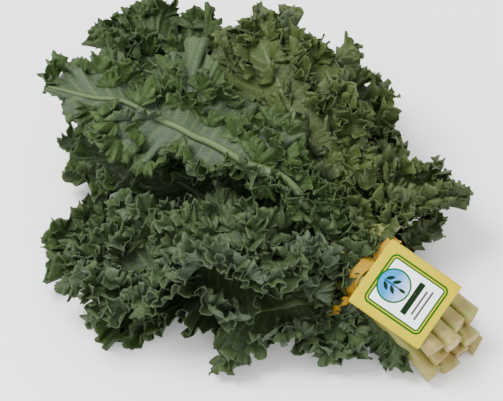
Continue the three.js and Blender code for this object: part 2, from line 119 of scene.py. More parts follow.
def smoothstep(values: Array, low: float, high: float) -> Array:
    """3t^2 - 2t^3, with t running from 0 at the low value to 1 at the high one."""
    t = np.clip((values - low) / (high - low), 0.0, 1.0)
    return t * t * (3.0 - 2.0 * t)


def chord_lengths(points: Array) -> Array:
    """How far along a line of points each of them is, added up from chord to chord."""
    return np.concatenate([[0], np.cumsum(np.linalg.norm(np.diff(points, axis=0), axis=1))])


def circle(count: int) -> Array:
    """That many even angles once round, from 0."""
    return FULL_TURN * np.arange(count) / count


def spline_weights(places: Array, count: int) -> Array:
    """The matrix that carries evenly spaced values to other places along a Catmull-Rom curve.

    At a share f of the way from one value to the next, the four values round it weigh (-f+2f^2-f^3)/2,
    (2-5f^2+3f^3)/2, (f+4f^2-3f^3)/2 and (-f^2+f^3)/2. Past each end the values go on in a straight line.

    Args:
        places: where to read the curve, in steps from the first value.
        count: how many values there are.
    Returns:
        One row of weights for each place.
    """
    first = np.clip(np.floor(places).astype(int), 0, count - 2)
    f = places - first
    cubic = [-f + 2 * f**2 - f**3, 2 - 5 * f**2 + 3 * f**3, f + 4 * f**2 - 3 * f**3, -(f**2) + f**3]
    weights = np.zeros((len(places), count + 2))
    for step, weight in enumerate(cubic):
        weights[np.arange(len(places)), first + step] += weight / 2
    weights[:, 1] += 2 * weights[:, 0]
    weights[:, 2] -= weights[:, 0]
    weights[:, -2] += 2 * weights[:, -1]
    weights[:, -3] -= weights[:, -1]
    return weights[:, 1:-1]


def drift(rng: Rng, places: Array, pitch: float) -> Array:
    """A smooth random line between -1 and 1: one random value every pitch, joined by a Catmull-Rom curve.

    Args:
        rng: the seeded source of the values.
        places: where to read the line, rising from 0.
        pitch: from value to value.
    Returns:
        The line at those places.
    """
    knots = int(np.ceil(places.max() / pitch)) + 2
    return spline_weights(places / pitch, knots) @ rng.uniform(-1.0, 1.0, knots)


def added(name: str, data: bpy.types.ID) -> bpy.types.Object:
    """An object of that name with that data, in the scene."""
    item = bpy.data.objects.new(name, data)
    bpy.context.scene.collection.objects.link(item)
    return item


def mesh_piece(
    name: str,
    finish: Material,
    points: Array,
    faces: list[Array],
    marks: dict[str, Array] | None = None,
    chart: Array | None = None,
) -> bpy.types.Object:
    """A smooth shaded mesh object at the origin.

    Args:
        name: the object's name.
        finish: its material.
        points: its points in the frame, in millimetres.
        faces: arrays of point numbers, one row a face.
        marks: named values, one for each point.
        chart: a place in the UV map for each point.
    Returns:
        The object.
    """
    corners = np.concatenate([group.reshape(-1) for group in faces]).astype(np.int32)
    size = np.concatenate([np.full(len(group), group.shape[1]) for group in faces])
    mesh = bpy.data.meshes.new(name)
    mesh.vertices.add(len(points))
    mesh.vertices.foreach_set("co", np.ascontiguousarray(points * MM, np.float32).reshape(-1))
    mesh.loops.add(len(corners))
    mesh.loops.foreach_set("vertex_index", corners)
    mesh.polygons.add(len(size))
    mesh.polygons.foreach_set("loop_start", np.concatenate([[0], np.cumsum(size)[:-1]]).astype(np.int32))
    mesh.update(calc_edges=True)
    mesh.polygons.foreach_set("use_smooth", np.ones(len(size), bool))
    for mark, values in (marks or {}).items():
        layer = mesh.attributes.new(mark, "FLOAT", "POINT")
        layer.data.foreach_set("value", np.ascontiguousarray(values, np.float32).reshape(-1))
    if chart is not None:
        layer = mesh.uv_layers.new(name="Chart")
        layer.data.foreach_set("uv", chart[corners].astype(np.float32).reshape(-1))
    mesh.validate()
    mesh.materials.append(finish)
    return added(name, mesh)


def tube_quads(rings: int, around: int, closed: bool = False) -> Array:
    """The faces between rings of points that run counter-clockwise seen from the tube's end.

    Args:
        rings: how many rings there are.
        around: how many points a ring has.
        closed: whether the last ring joins the first.
    Returns:
        Four point numbers a face.
    """
    i, k = np.meshgrid(np.arange(rings if closed else rings - 1), np.arange(around), indexing="ij")
    a, b, whole = i * around + k, i * around + (k + 1) % around, rings * around
    return np.stack([a, b, (b + around) % whole, (a + around) % whole], -1).reshape(-1, 4)


def tube_piece(
    name: str,
    finish: Material,
    rings: Array,
    ends: list[Array],
    chart: tuple[Array, Array, float],
    marks: dict[str, tuple[Array, Pair]] | None = None,
    clockwise: bool = False,
) -> bpy.types.Object:
    """A tube through rings of points, closed by a fan of triangles round a point at each end.

    Args:
        name: the piece's name.
        finish: its material.
        rings: rings, points round each and places, in millimetres round the middle of the tie.
        ends: the first and the last point.
        chart: the UV map's place along for each ring, across for each point of one, and across for the ends.
        marks: named values, one for each ring and one for each end.
        clockwise: whether the rings run clockwise seen from the last end.
    Returns:
        The piece.
    """
    count, around = rings.shape[:2]
    points = np.concatenate([rings.reshape(-1, 3), ends]) + SHIFT
    points[:, 2] = np.maximum(points[:, 2], TABLE_CLEARANCE)
    k = np.arange(around)
    after, last = (k + 1) % around, (count - 1) * around
    caps = np.concatenate(
        [
            np.stack([np.full(around, count * around), after, k], -1),
            np.stack([np.full(around, count * around + 1), last + k, last + after], -1),
        ]
    )
    along, across, middle = chart
    places = np.stack(np.meshgrid(along, across, indexing="ij"), -1).reshape(-1, 2)
    places = np.concatenate([places, [[along[0], middle], [along[-1], middle]]])
    values = {}
    for mark, (ring, end) in (marks or {}).items():
        values[mark] = np.concatenate([np.repeat(ring, around), end])
    way = -1 if clockwise else 1
    faces = [tube_quads(count, around)[:, ::way], caps[:, ::way]]
    return mesh_piece(name, finish, points, faces, values, places)


def closed_shells(upper: Array, lower: Array) -> tuple[Array, Array, Array]:
    """Closes the space between two grids of points: both faces, and a strip round their border.

    A face runs down a column first and then along a row, so that the upper one looks the way of the cross
    product of those two directions.

    Args:
        upper: one or more grids of points, the last three axes being rows, columns and places.
        lower: the same on the other side.
    Returns:
        Points, faces, and which points are on the lower side.
    """
    rows, columns = upper.shape[-3:-1]
    sheets = upper.reshape(-1, rows * columns, 3), lower.reshape(-1, rows * columns, 3)
    count, size = sheets[0].shape[:2]
    points = np.concatenate([sheet.reshape(-1, 3) for sheet in sheets])
    numbers = np.arange(size).reshape(rows, columns)
    a = numbers[:-1, :-1].reshape(-1)
    top = np.stack([a, a + columns, a + columns + 1, a + 1], -1)
    border = [numbers[0, :-1], numbers[:-1, -1], numbers[-1, :0:-1], numbers[:0:-1, 0]]
    border = np.concatenate(border)
    after, under = np.roll(border, -1), count * size
    rim = np.stack([border, after, after + under, border + under], -1)
    faces = np.concatenate([top, top[:, ::-1] + under, rim])
    faces = (faces[None] + (np.arange(count) * size)[:, None, None]).reshape(-1, 4)
    return points, faces, np.repeat([0.0, 1.0], under)


@dataclass(frozen=True)
class Plan:
    """One leaf: its place in the tie and the shape of its rib and blade. See the part's source."""

    name: str
    row: int
    place: float
    fan: float
    reach: float
    rise: tuple[float, float, float]
    bow: float
    width: Pair
    fold: Pair
    roll: float
    ear: Pair
    phase: float
    rows: int
    tone: Tone
    leaflets: int = 0

    @property
    def flipped(self) -> bool:
        """Whether the leaf lies with its lower face up."""
        return abs(self.roll) > 90


PLAN_ROWS = (
    ("leaf_low_1", -1, -0.5, -21, 214, (12, 2, 2), 6, (68, 84), (8, 5), 0, (0, 0), 1.9, 36, Tone.DEEP),
    ("leaf_low_2", -1, 0.5, -5, 252, (20, 24, 20), 0, (60, 60), (12, 8), 0, (0, 0), 3.1, 28, Tone.DEEP),
    ("leaf_low_3", -1, -1.5, -54, 100, (22, 10, 4), 2, (47, 47), (14, 6), 0, (0, 48), 0.3, 38, Tone.BLUE, 8),
    ("leaf_low_4", -1, 1.5, 70, 60, (22, 15, 11), -4, (35, 35), (14, 20), 0, (0, 0), 5.8, 30, Tone.OLIVE, 4),
    ("leaf_mid_1", 0, -1, -38, 202, (44, 42, 34), 2, (60, 60), (24, 8), 4, (0, 20), 0.9, 40, Tone.BLUE),
    ("leaf_mid_2", 0, 1, 40, 184, (42, 38, 34), 0, (56, 56), (10, 22), -2, (4, 0), 3.8, 36, Tone.OLIVE),
    ("leaf_mid_3", 0, 0, 10, 286, (50, 56, 58), 0, (67, 67), (16, 16), 0, (0, 0), 2.5, 32, Tone.DEEP),
    ("leaf_top_1", 1, 1.5, 72, 82, (60, 46, 30), -4, (44, 44), (18, 28), -6, (4, 0), 0.1, 32, Tone.OLIVE),
    ("leaf_top_2", 1, -1.5, -44, 136, (68, 76, 66), 2, (54, 54), (28, 16), 8, (0, 10), 2.9, 38, Tone.BLUE),
    ("leaf_top_3", 1, 0.5, 27, 210, (70, 76, 74), 4, (60, 60), (22, 22), 2, (0, 0), 4.9, 42, Tone.OLIVE),
    ("leaf_top_4", 1, -0.5, -10, 266, (80, 98, 92), -8, (38, 62), (14, 24), 160, (0, 0), 1.3, 42, Tone.FRESH),
)
PLANS = [Plan(*row) for row in PLAN_ROWS]


@dataclass(frozen=True)
class BunchSizes:
    """The sizes that the part's source works with, in millimetres and degrees."""

    tie_height: float = 46
    stem_pitch: float = 12
    row_rise: float = 12
    stem_radius: float = 5.6
    stem_end_radius: float = 6.5
    stem_reach: float = 83
    stem_drop: float = 26.3
    stem_splay: float = 1.15
    tie_half_length: float = 16
    stem_stagger: float = 0.06
    cut_slant: float = 0.25
    blade_thickness: float = 0.9
    blade_start: float = 30
    rib_start_radius: float = 4.6
    rib_tip_radius: float = 1.2
    rib_depth: float = 1.4
    rib_pressed: float = 0.35
    rib_knees: Pair = (0.36, 0.68)
    side_columns: int = 3
    blade_end_share: float = 0.13
    ear_at: float = 0.16
    ear_span: float = 0.13
    lobe_pitch: float = 44
    lobe_depth: float = 0.15
    swing_pitch: float = 78
    swing_angle: float = 34
    ruffle_pitch: float = 38
    ruffle_height: float = 6.5
    sweep_start: float = -42
    sweep_end: float = 72
    curl: float = 14
    leaf_gap: float = 12
    stack_reach: float = 14
    settle_steps: int = 24
    fine_steps: int = 6
    smoothings: int = 3
    stem_lift_share: float = 0.7
    rib_free_from: float = 0.25
    wave_clearance: float = 3.2
    band_clearance: float = 0.7
    band_thickness: float = 1.1
    band_width: float = 10
    band_at: float = 4
    card_start: float = 12
    twist_length: float = 22
    twist_half_width: float = 3.6
    twist_turns: float = 1.25
    card_length: float = 60
    card_shift: float = -3
    card_width: float = 54
    card_roll: float = 26
    card_slope: float = 17
    card_crown: float = 3

    @property
    def half_row(self) -> float:
        """From the middle of a row of four stems to its last stem."""
        return 1.5 * self.stem_pitch

    @property
    def band_inside(self) -> float:
        """From a corner stem's middle to the band."""
        return self.stem_radius + self.band_clearance


SIZES = BunchSizes()


def tie_middle() -> Array:
    """The tie's middle on the table in the frame, in millimetres, from the band's far upper corner there."""
    s = SIZES
    out = s.band_inside + s.band_thickness
    corner = np.array([s.band_at + s.band_width / 2, s.half_row + out, s.tie_height + s.row_rise + out])
    return np.array(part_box("tie_band")[1]) / MM - corner


SHIFT = tie_middle()


@dataclass
class RibLine:
    """A centripetal Catmull-Rom curve through a leaf's stem and rib, read by shares of its length."""

    knots: Array
    divisions: int = 200
    lengths: Array = field(init=False)

    def __post_init__(self) -> None:
        """Adds up the chords of equal divisions of the curve."""
        self.lengths = chord_lengths(self.at_parameter(np.linspace(0, 1, self.divisions + 1)))

    def at_parameter(self, t: Array) -> Array:
        """Points of the curve at its own parameter, which runs from 0 to 1.

        Between two knots the curve is the cubic whose end slopes come from the knots round them, each gap
        counted as the square root of its length.

        Args:
            t: the parameters.
        Returns:
            One point for each.
        """
        p = np.vstack([2 * self.knots[0] - self.knots[1], self.knots, 2 * self.knots[-1] - self.knots[-2]])
        place = np.clip(t, 0, 1) * (len(self.knots) - 1)
        k = np.minimum(place.astype(int), len(self.knots) - 2)
        w = (place - k)[:, None]
        x0, x1, x2, x3 = p[k], p[k + 1], p[k + 2], p[k + 3]
        gaps = x1 - x0, x2 - x1, x3 - x2
        d0, d1, d2 = (np.sqrt(np.linalg.norm(gap, axis=1))[:, None] for gap in gaps)
        s1 = ((x1 - x0) / d0 - (x2 - x0) / (d0 + d1) + (x2 - x1) / d1) * d1
        s2 = ((x2 - x1) / d1 - (x3 - x1) / (d1 + d2) + (x3 - x2) / d2) * d1
        c2 = -3 * x1 + 3 * x2 - 2 * s1 - s2
        c3 = 2 * x1 - 2 * x2 + s1 + s2
        return x1 + s1 * w + c2 * w**2 + c3 * w**3

    def parameter(self, share: Array) -> Array:
        """The parameter at each share of the curve's length."""
        return np.interp(share * self.lengths[-1], self.lengths, np.linspace(0, 1, len(self.lengths)))

    def point(self, share: Array) -> Array:
        """The point at each share of the curve's length."""
        return self.at_parameter(self.parameter(share))

    def frames(self, share: Array, roll: float) -> tuple[Array, Array, Array, Array]:
        """Point, along, up and side at each share: up is +Z made square to along, then rolled about it.

        Args:
            share: shares of the curve's length.
            roll: degrees.
        Returns:
            The four sets of vectors.
        """
        t = self.parameter(share)
        along = unit(self.at_parameter(np.minimum(t + 1e-4, 1)) - self.at_parameter(np.maximum(t - 1e-4, 0)))
        up = unit(Z_UP - along * along[:, 2:3])
        turn = math.radians(roll)
        up = up * math.cos(turn) + np.cross(along, up) * math.sin(turn)
        return self.point(share), along, up, np.cross(along, up)


@dataclass
class Leaf:
    """A leaf as the source grows it: its rib line and a coarse grid of its blade, margin to margin."""

    plan: Plan
    line: RibLine = field(init=False)
    tied: float = field(init=False)
    start: float = field(init=False)
    smooth: Array = field(init=False)
    waves: Array = field(init=False)
    blade: Array = field(init=False)

    def __post_init__(self) -> None:
        """Lays the rib line and the smooth and waved blades."""
        self.line = self.rib_line()
        self.tied = self.share_past(0)
        self.start = self.share_past(SIZES.blade_start)
        self.smooth = self.blade_grid(0.0)
        self.waves = self.blade_grid(1.0) - self.smooth

    @property
    def shares(self) -> Array:
        """How far along the blade each row of the grid is."""
        return np.arange(self.plan.rows + 1) / self.plan.rows

    @property
    def margin_length(self) -> float:
        """About how long a smooth margin is."""
        return self.plan.reach - SIZES.blade_start + 0.6 * sum(self.plan.width)

    @property
    def tie_place(self) -> Array:
        """Where its stem passes the middle of the tie."""
        s = SIZES
        return np.array([0, self.plan.place * s.stem_pitch, s.tie_height + self.plan.row * s.row_rise])

    def along_weights(self, u: Array) -> Array:
        """The weights that read the grid's rows at shares of the blade."""
        return spline_weights(u * self.plan.rows, self.plan.rows + 1)

    def across_weights(self, across: Array) -> Array:
        """The weights that read the grid's columns, from 1 at the left margin to -1 at the right one."""
        return spline_weights(SIZES.side_columns * (1 - across), 2 * SIZES.side_columns + 1)

    def rib_line(self) -> RibLine:
        """The line through the cut end, the tie and three points of the rib."""
        plan, s = self.plan, SIZES
        fan = math.radians(plan.fan)
        out = np.array([-math.cos(fan), math.sin(fan), 0.0])
        side = np.array([-out[1], out[0], 0.0])
        _, y, z = self.tie_place
        level = np.array([s.tie_half_length, y, z])
        end_height = s.tie_height + plan.row * s.row_rise * s.stem_splay - s.stem_drop
        end = np.array([s.stem_reach, y * s.stem_splay, end_height])
        cut = 1 - s.stem_stagger * (1 + math.sin(3 * plan.phase))
        knots = [level + (end - level) * cut, level]
        knots += [np.array([x, y, z]) for x in (s.band_width, -s.band_width, -s.tie_half_length)]
        for share, bow, height in zip((*s.rib_knees, 1), (0.6, 1, 0), plan.rise):
            knots.append(out * plan.reach * share + side * plan.bow * bow + Z_UP * height)
        return RibLine(np.array(knots))

    def share_past(self, distance: float) -> float:
        """The share of the line at which the leaf is first this far past the tie, to 1 part in 500."""
        shares = np.arange(0, 501) * 0.002
        points = self.line.point(shares)
        past = (points[:, 0] <= 0) & (np.linalg.norm(points - self.tie_place, axis=1) >= distance)
        return float(shares[np.argmax(past)])

    def half_width(self, u: Array, hand: Hand) -> Array:
        """Half the blade's width: an oval, sin(pi u^1.35)^0.8, cut into lobes, with a long lobe by the tie."""
        s = SIZES
        full = np.maximum(np.sin(math.pi * u**1.35), 0) ** 0.8
        oval = s.blade_end_share + (1 - s.blade_end_share) * full
        turns = FULL_TURN * self.margin_length * u / s.lobe_pitch
        lobes = 1 + s.lobe_depth * np.sin(turns + 2.1 * self.plan.phase + hand.value)
        ear = self.plan.ear[hand.half] * bell((u - s.ear_at) / s.ear_span)
        return self.plan.width[hand.half] * oval * lobes + ear

    def half_rows(self, u: Array, frames: tuple[Array, ...], hand: Hand, waves: float) -> Array:
        """The half blade on one hand: each row steps out from the rib, folded, swept to the tip and curled.

        Broad sine waves turn a row about the rib, and short ones push it along its own normal, by a height
        that grows with the square of the way out.

        Args:
            u: how far along the blade each row is.
            frames: point, along, up and side of the rib at each row.
            hand: the half.
            waves: 0 for the smooth blade, 1 for the waved one.
        Returns:
            Rows of points, from beside the rib to the margin.
        """
        s, plan = SIZES, self.plan
        at, along, up, side = frames
        side = side * hand.value
        sweep = np.radians(s.sweep_start + (s.sweep_end - s.sweep_start) * u**1.3)[:, None]
        step_width = (self.half_width(u, hand) / s.side_columns)[:, None]
        phase = plan.phase + 2.4 * hand.half
        calm = 1 - u**5
        turns = FULL_TURN * self.margin_length
        swing = (calm * np.sin(turns * u / s.swing_pitch + phase))[:, None]
        ruffle = (calm * np.sin(turns * u / s.ruffle_pitch + 1.7 * phase))[:, None]
        columns = []
        for step in range(1, s.side_columns + 1):
            t = step / s.side_columns
            turn = np.radians(plan.fold[hand.half] + s.curl * t + waves * s.swing_angle * t * swing)
            out = side * np.cos(turn) + up * np.sin(turn)
            normal = up * np.cos(turn) - side * np.sin(turn)
            at = at + out * np.cos(sweep) * step_width + along * np.sin(sweep) * step_width
            columns.append(at + normal * waves * s.ruffle_height * t * t * ruffle)
        return np.stack(columns, 1)

    def blade_grid(self, waves: float) -> Array:
        """The whole blade's points, from the left margin over the rib to the right margin."""
        u = self.shares
        frames = self.line.frames(self.start + (1 - self.start) * u, self.plan.roll)
        left = self.half_rows(u, frames, Hand.LEFT, waves)[:, ::-1]
        right = self.half_rows(u, frames, Hand.RIGHT, waves)
        return np.concatenate([left, frames[0][:, None], right], 1)

    def rib_radius(self, u: Array) -> Array:
        """The rib thins from its start to its tip with the 0.8th power of the way."""
        return SIZES.rib_start_radius + (SIZES.rib_tip_radius - SIZES.rib_start_radius) * u**0.8

    def thickness(self, rib_share: float) -> Array:
        """Half the leaf's thickness at each grid point: on the rib, this many of its radii."""
        half = np.full(self.smooth.shape[:2], SIZES.blade_thickness / 2)
        half[:, SIZES.side_columns] = rib_share * self.rib_radius(self.shares)
        return half


def points_beside(leaf: Leaf, leaves: list[Leaf], grid: str) -> Array:
    """The points of every other leaf's grid of that name."""
    return np.concatenate([getattr(other, grid).reshape(-1, 3) for other in leaves if other is not leaf])


def spread(grid: Array) -> Array:
    """Each value of a grid as 0.4 of itself and 0.6 of the mean of its neighbours."""

    def neighbours(values: Array) -> Array:
        """The sum of the values above, below, before and after each one."""
        p = np.pad(values, 1)
        return p[:-2, 1:-1] + p[2:, 1:-1] + p[1:-1, :-2] + p[1:-1, 2:]

    return 0.4 * grid + 0.6 * neighbours(grid) / neighbours(np.ones_like(grid))


@dataclass
class Foliage:
    """The eleven leaves grown together: stacked in the order of the table, then waved."""

    leaves: list[Leaf] = field(default_factory=lambda: [Leaf(plan) for plan in PLANS])

    def grow(self) -> list[Leaf]:
        """Settles the smooth blades, puts the waves on them, and gives the leaves."""
        self.settle()
        for leaf in self.leaves:
            leaf.blade = self.waved(leaf)
        return self.leaves

    def stack_lift(self, leaf: Leaf, other: Leaf, hand: int) -> Array:
        """Half of what each point of one leaf lacks in height over (hand 1) or under (-1) another leaf.

        Args:
            leaf: the leaf that moves.
            other: the leaf that it lies on or under.
            hand: 1 where it is the upper one.
        Returns:
            The lift of each grid point.
        """
        s = SIZES
        away = leaf.smooth[:, :, None, None] - other.smooth
        apart = np.hypot(away[..., 0], away[..., 1]) / s.stack_reach
        gap = s.leaf_gap * np.minimum(1, 2 * (leaf.shares[:, None] + other.shares[None]))
        own, facing = (one.thickness(s.rib_depth) for one in (leaf, other))
        want = gap[:, None, :, None] + own[:, :, None, None] + facing
        lack = (want - hand * away[..., 2]) * (1 - apart**2)
        return hand * np.where(apart > 1, 0, lack).max((2, 3)).clip(0) / 2

    def settle(self) -> None:
        """Lifts and presses the smooth blades until those that lie over each other keep the leaf gap."""
        s = SIZES
        out = np.abs(np.arange(-s.side_columns, s.side_columns + 1)) / s.side_columns
        for step in range(s.settle_steps):
            lifts = []
            for a, leaf in enumerate(self.leaves):
                pairs = [(other, 1 if a > b else -1) for b, other in enumerate(self.leaves) if a != b]
                lifts.append(sum(self.stack_lift(leaf, other, hand) for other, hand in pairs))
            for leaf, lift in zip(self.leaves, lifts):
                for _ in range(s.smoothings if step < s.settle_steps - s.fine_steps else 1):
                    lift = spread(lift)
                free = smoothstep(leaf.shares, 0, s.rib_free_from)[:, None]
                leaf.smooth[..., 2] += lift * (free + (1 - free) * s.stem_lift_share * out)
                leaf.smooth[..., 2] = np.maximum(leaf.smooth[..., 2], leaf.thickness(s.rib_pressed))

    def waved(self, leaf: Leaf) -> Array:
        """A leaf's settled blade with its waves, each lowered until it stays clear of every other leaf."""
        beside = points_beside(leaf, self.leaves, "smooth")
        others = [other for other in self.leaves if other is not leaf]
        depth = np.concatenate([other.thickness(SIZES.rib_depth).reshape(-1) for other in others])
        length = np.linalg.norm(leaf.waves, axis=2)
        shares = np.zeros(length.shape)
        for share in np.arange(1, 11) / 10:
            crest = leaf.smooth + leaf.waves * share
            away = np.linalg.norm(crest[:, :, None] - beside, axis=3) - depth
            clear = (away > (share * length + SIZES.wave_clearance)[:, :, None]).all(2)
            shares = np.where(clear, share, shares)
        blade = leaf.smooth + leaf.waves * spread(shares)[:, :, None]
        blade[..., 2] = np.maximum(blade[..., 2], SIZES.blade_thickness / 2)
        return blade


@dataclass(frozen=True)
class Signal:
    """A socket that carries a number, with the operators that add Math nodes."""

    graph: "Graph"
    socket: Socket

    def math(self, operation: str, *values: "Signal | float") -> "Signal":
        """A Math node on this number and the ones after it."""
        return self.graph.signal("ShaderNodeMath", {"operation": operation}, dict(enumerate((self, *values))))

    def __add__(self, other: "Signal | float") -> "Signal":
        """This plus the other."""
        return self.math("ADD", other)

    def __sub__(self, other: "Signal | float") -> "Signal":
        """This less the other."""
        return self.math("SUBTRACT", other)

    def __mul__(self, other: "Signal | float") -> "Signal":
        """This times the other."""
        return self.math("MULTIPLY", other)

    __radd__ = __add__

    def power(self, exponent: float) -> "Signal":
        """This to a power."""
        return self.math("POWER", exponent)

    def absolute(self) -> "Signal":
        """This without its sign."""
        return self.math("ABSOLUTE")

    def least(self, other: "Signal | float") -> "Signal":
        """The smaller of the two."""
        return self.math("MINIMUM", other)

    def most(self, other: "Signal | float") -> "Signal":
        """The larger of the two."""
        return self.math("MAXIMUM", other)

    def step(self, low: float, high: float) -> "Signal":
        """A smooth step from 0 at low to 1 at high; low may be the larger."""
        inputs = {"Value": self, "From Min": low, "From Max": high}
        if low > high:
            inputs.update({"From Min": high, "From Max": low, "To Min": 1.0, "To Max": 0.0})
        return self.graph.signal("ShaderNodeMapRange", {"interpolation_type": "SMOOTHSTEP"}, inputs)


class Graph:
    """A material's nodes."""

    def __init__(self, name: str) -> None:
        """Starts an empty material of that name."""
        self.material = bpy.data.materials.new(name)
        self.material.use_nodes = True
        self.tree = self.material.node_tree
        self.tree.nodes.clear()

    def node(self, kind: str, settings: dict, inputs: dict) -> bpy.types.Node:
        """Adds a node.

        Args:
            kind: the node's type.
            settings: its properties, set first.
            inputs: a value, signal or socket for each named or numbered input.
        Returns:
            The node.
        """
        node = self.tree.nodes.new(kind)
        for name, value in settings.items():
            setattr(node, name, value)
        for name, value in inputs.items():
            if isinstance(value, Signal):
                value = value.socket
            if isinstance(value, Socket):
                self.tree.links.new(value, node.inputs[name])
            elif isinstance(value, tuple):
                node.inputs[name].default_value = (*value, 1.0)
            else:
                node.inputs[name].default_value = value
        return node

    def signal(self, kind: str, settings: dict, inputs: dict, output: int | str = 0) -> Signal:
        """Adds a node and wraps one of its outputs."""
        return Signal(self, self.node(kind, settings, inputs).outputs[output])

    def mark(self, name: str) -> Signal:
        """The value that a mesh carries under that name."""
        return self.signal("ShaderNodeAttribute", {"attribute_name": name}, {}, "Fac")

    def place(self) -> Socket:
        """Object coordinates."""
        return self.node("ShaderNodeTexCoord", {}, {}).outputs["Object"]

    def chart(self) -> tuple[Signal, Signal]:
        """The two coordinates of the mesh's own UV map."""
        where = self.node("ShaderNodeUVMap", {"uv_map": "Chart"}, {}).outputs["UV"]
        parts = self.node("ShaderNodeSeparateXYZ", {}, {"Vector": where})
        return Signal(self, parts.outputs["X"]), Signal(self, parts.outputs["Y"])

    def flat_place(self, x: Signal, y: Signal) -> Socket:
        """A place with these two coordinates."""
        return self.node("ShaderNodeCombineXYZ", {}, {"X": x, "Y": y}).outputs[0]

    def noise(self, where: Socket, scale: float, detail: float = 2.0) -> Signal:
        """Smooth noise about 0.5, with this many cells in a metre."""
        return self.signal("ShaderNodeTexNoise", {}, {"Vector": where, "Scale": scale, "Detail": detail})

    def net(self, where: Socket, scale: float) -> Signal:
        """The distance from the edges of a net of random cells."""
        settings = {"feature": "DISTANCE_TO_EDGE"}
        return self.signal("ShaderNodeTexVoronoi", settings, {"Vector": where, "Scale": scale}, "Distance")

    def mix(self, factor: Signal | float, first: object, second: object) -> Socket:
        """The first colour where the factor is 0 and the second where it is 1."""
        return self.node("ShaderNodeMix", {"data_type": "RGBA"}, {0: factor, 6: first, 7: second}).outputs[2]

    def bump(self, height: Signal, depth: float, strength: float) -> Socket:
        """The normal of a surface raised by a height, in metres for a height of 1."""
        inputs = {"Height": height, "Distance": depth, "Strength": strength}
        return self.node("ShaderNodeBump", {}, inputs).outputs["Normal"]

    def skin(self, colour: object, roughness: Signal | float, **more: object) -> Socket:
        """The shader of a solid surface; more inputs go by their names, with _ for a space."""
        inputs = {"Base Color": colour, "Roughness": roughness}
        inputs.update({name.replace("_", " "): value for name, value in more.items()})
        return self.node("ShaderNodeBsdfPrincipled", {}, inputs).outputs[0]

    def finish(self, shader: Socket) -> Material:
        """Sends a shader to the output and gives the material."""
        self.node("ShaderNodeOutputMaterial", {}, {"Surface": shader})
        return self.material


@dataclass(frozen=True)
class LeafFinish:
    """A blade: dark upper face, grey-green lower face, pale veins and a yellower margin."""

    tone: Tone
    vein: Colour = (0.085, 0.118, 0.038)
    bloom: Colour = (0.042, 0.064, 0.040)
    glow: Colour = (0.060, 0.130, 0.008)
    light_patch: float = 1.55
    glow_share: float = 0.12
    broad_scale: float = 22.0
    patch_scale: float = 75.0
    net_scale: float = 260.0
    fine_scale: float = 900.0
    relief_depth: float = 0.0005

    def material(self) -> Material:
        """Builds the material, on the marks "out", "under" and "vein" of the blade."""
        name, upper, lower, margin = self.tone.value
        g = Graph(f"leaf_{name}")
        place = g.place()
        out, under, vein = g.mark("out"), g.mark("under"), g.mark("vein")
        broad = g.noise(place, self.broad_scale, 3.0)
        patch = g.noise(place, self.patch_scale)
        cells = g.net(place, self.net_scale)
        rim = out.step(0.60, 1.0)
        colour = g.mix(broad.step(0.38, 0.62) * 0.75, upper, tuple(self.light_patch * c for c in upper))
        colour = g.mix(rim * (0.12 + patch.step(0.44, 0.62) * 0.68), colour, margin)
        below = g.mix(rim * 0.55, lower, margin)
        below = g.mix(broad.step(0.4, 0.65) * 0.5, below, self.bloom)
        colour = g.mix(under, colour, below)
        colour = g.mix(cells.step(0.12, 0.0) * 0.18, colour, self.vein)
        colour = g.mix(vein * 0.55, colour, self.vein)
        relief = cells.step(0.0, 0.35) * 0.7 + g.noise(place, self.fine_scale) * 0.3 - vein * 0.5
        normal = g.bump(relief, self.relief_depth, 0.55)
        skin = g.skin(colour, 0.52 + patch * 0.16, Normal=normal, Specular_IOR_Level=0.32, Sheen_Weight=0.03)
        glow = g.node("ShaderNodeBsdfTranslucent", {}, {"Color": self.glow}).outputs[0]
        return g.finish(g.node("ShaderNodeMixShader", {}, {0: self.glow_share, 1: skin, 2: glow}).outputs[0])


@dataclass(frozen=True)
class StalkFinish:
    """A stem and rib: pale green with lengthwise fibres, browned where cut, darkened past the tie as painted
    shade.
    """

    stem: Colour = (0.275, 0.260, 0.060)
    shade: Colour = (0.150, 0.170, 0.036)
    # The rib's dark green; the stem past the tie is ramped to it as painted shade of the leaves over it.
    rib: Colour = (0.056, 0.086, 0.024)
    pith: Colour = (0.40, 0.355, 0.15)
    cut: Colour = (0.22, 0.125, 0.036)
    fibres_along: float = 6.0
    fibres_round: float = 34.0
    mottle_scale: float = 130.0
    relief_depth: float = 0.0006

    def material(self) -> Material:
        """Builds the material, on the marks "rib" (also painted shade past the tie), "face" and "end" of the
        stalk and its UV map.
        """
        g = Graph("kale_stalk")
        rib, face, end = g.mark("rib"), g.mark("face"), g.mark("end")
        along, around = g.chart()
        fibre = g.noise(g.flat_place(along * self.fibres_along, around * self.fibres_round), 1.0)
        mottle = g.noise(g.place(), self.mottle_scale, 3.0)
        colour = g.mix(fibre.step(0.35, 0.65) * 0.6, self.stem, self.shade)
        colour = g.mix(mottle.step(0.5, 0.7) * 0.35, colour, self.shade)
        # Painted shade: from the tie outward the stem is darkened to the rib's dark green, which the rib keeps.
        colour = g.mix(rib.step(0.0, 0.25), colour, self.rib)
        stain = (end.step(0.9, 1.0) * mottle.step(0.35, 0.6)).least(1.0)
        colour = g.mix(stain * 0.75, colour, self.cut)
        section = g.mix(face.step(0.55, 0.9), self.pith, self.cut)
        section = g.mix(mottle.step(0.45, 0.7) * 0.7, section, self.cut)
        colour = g.mix(face.step(0.0, 0.05), colour, section)
        return g.finish(g.skin(colour, 0.42 + mottle * 0.25, Normal=g.bump(fibre, self.relief_depth, 0.6)))


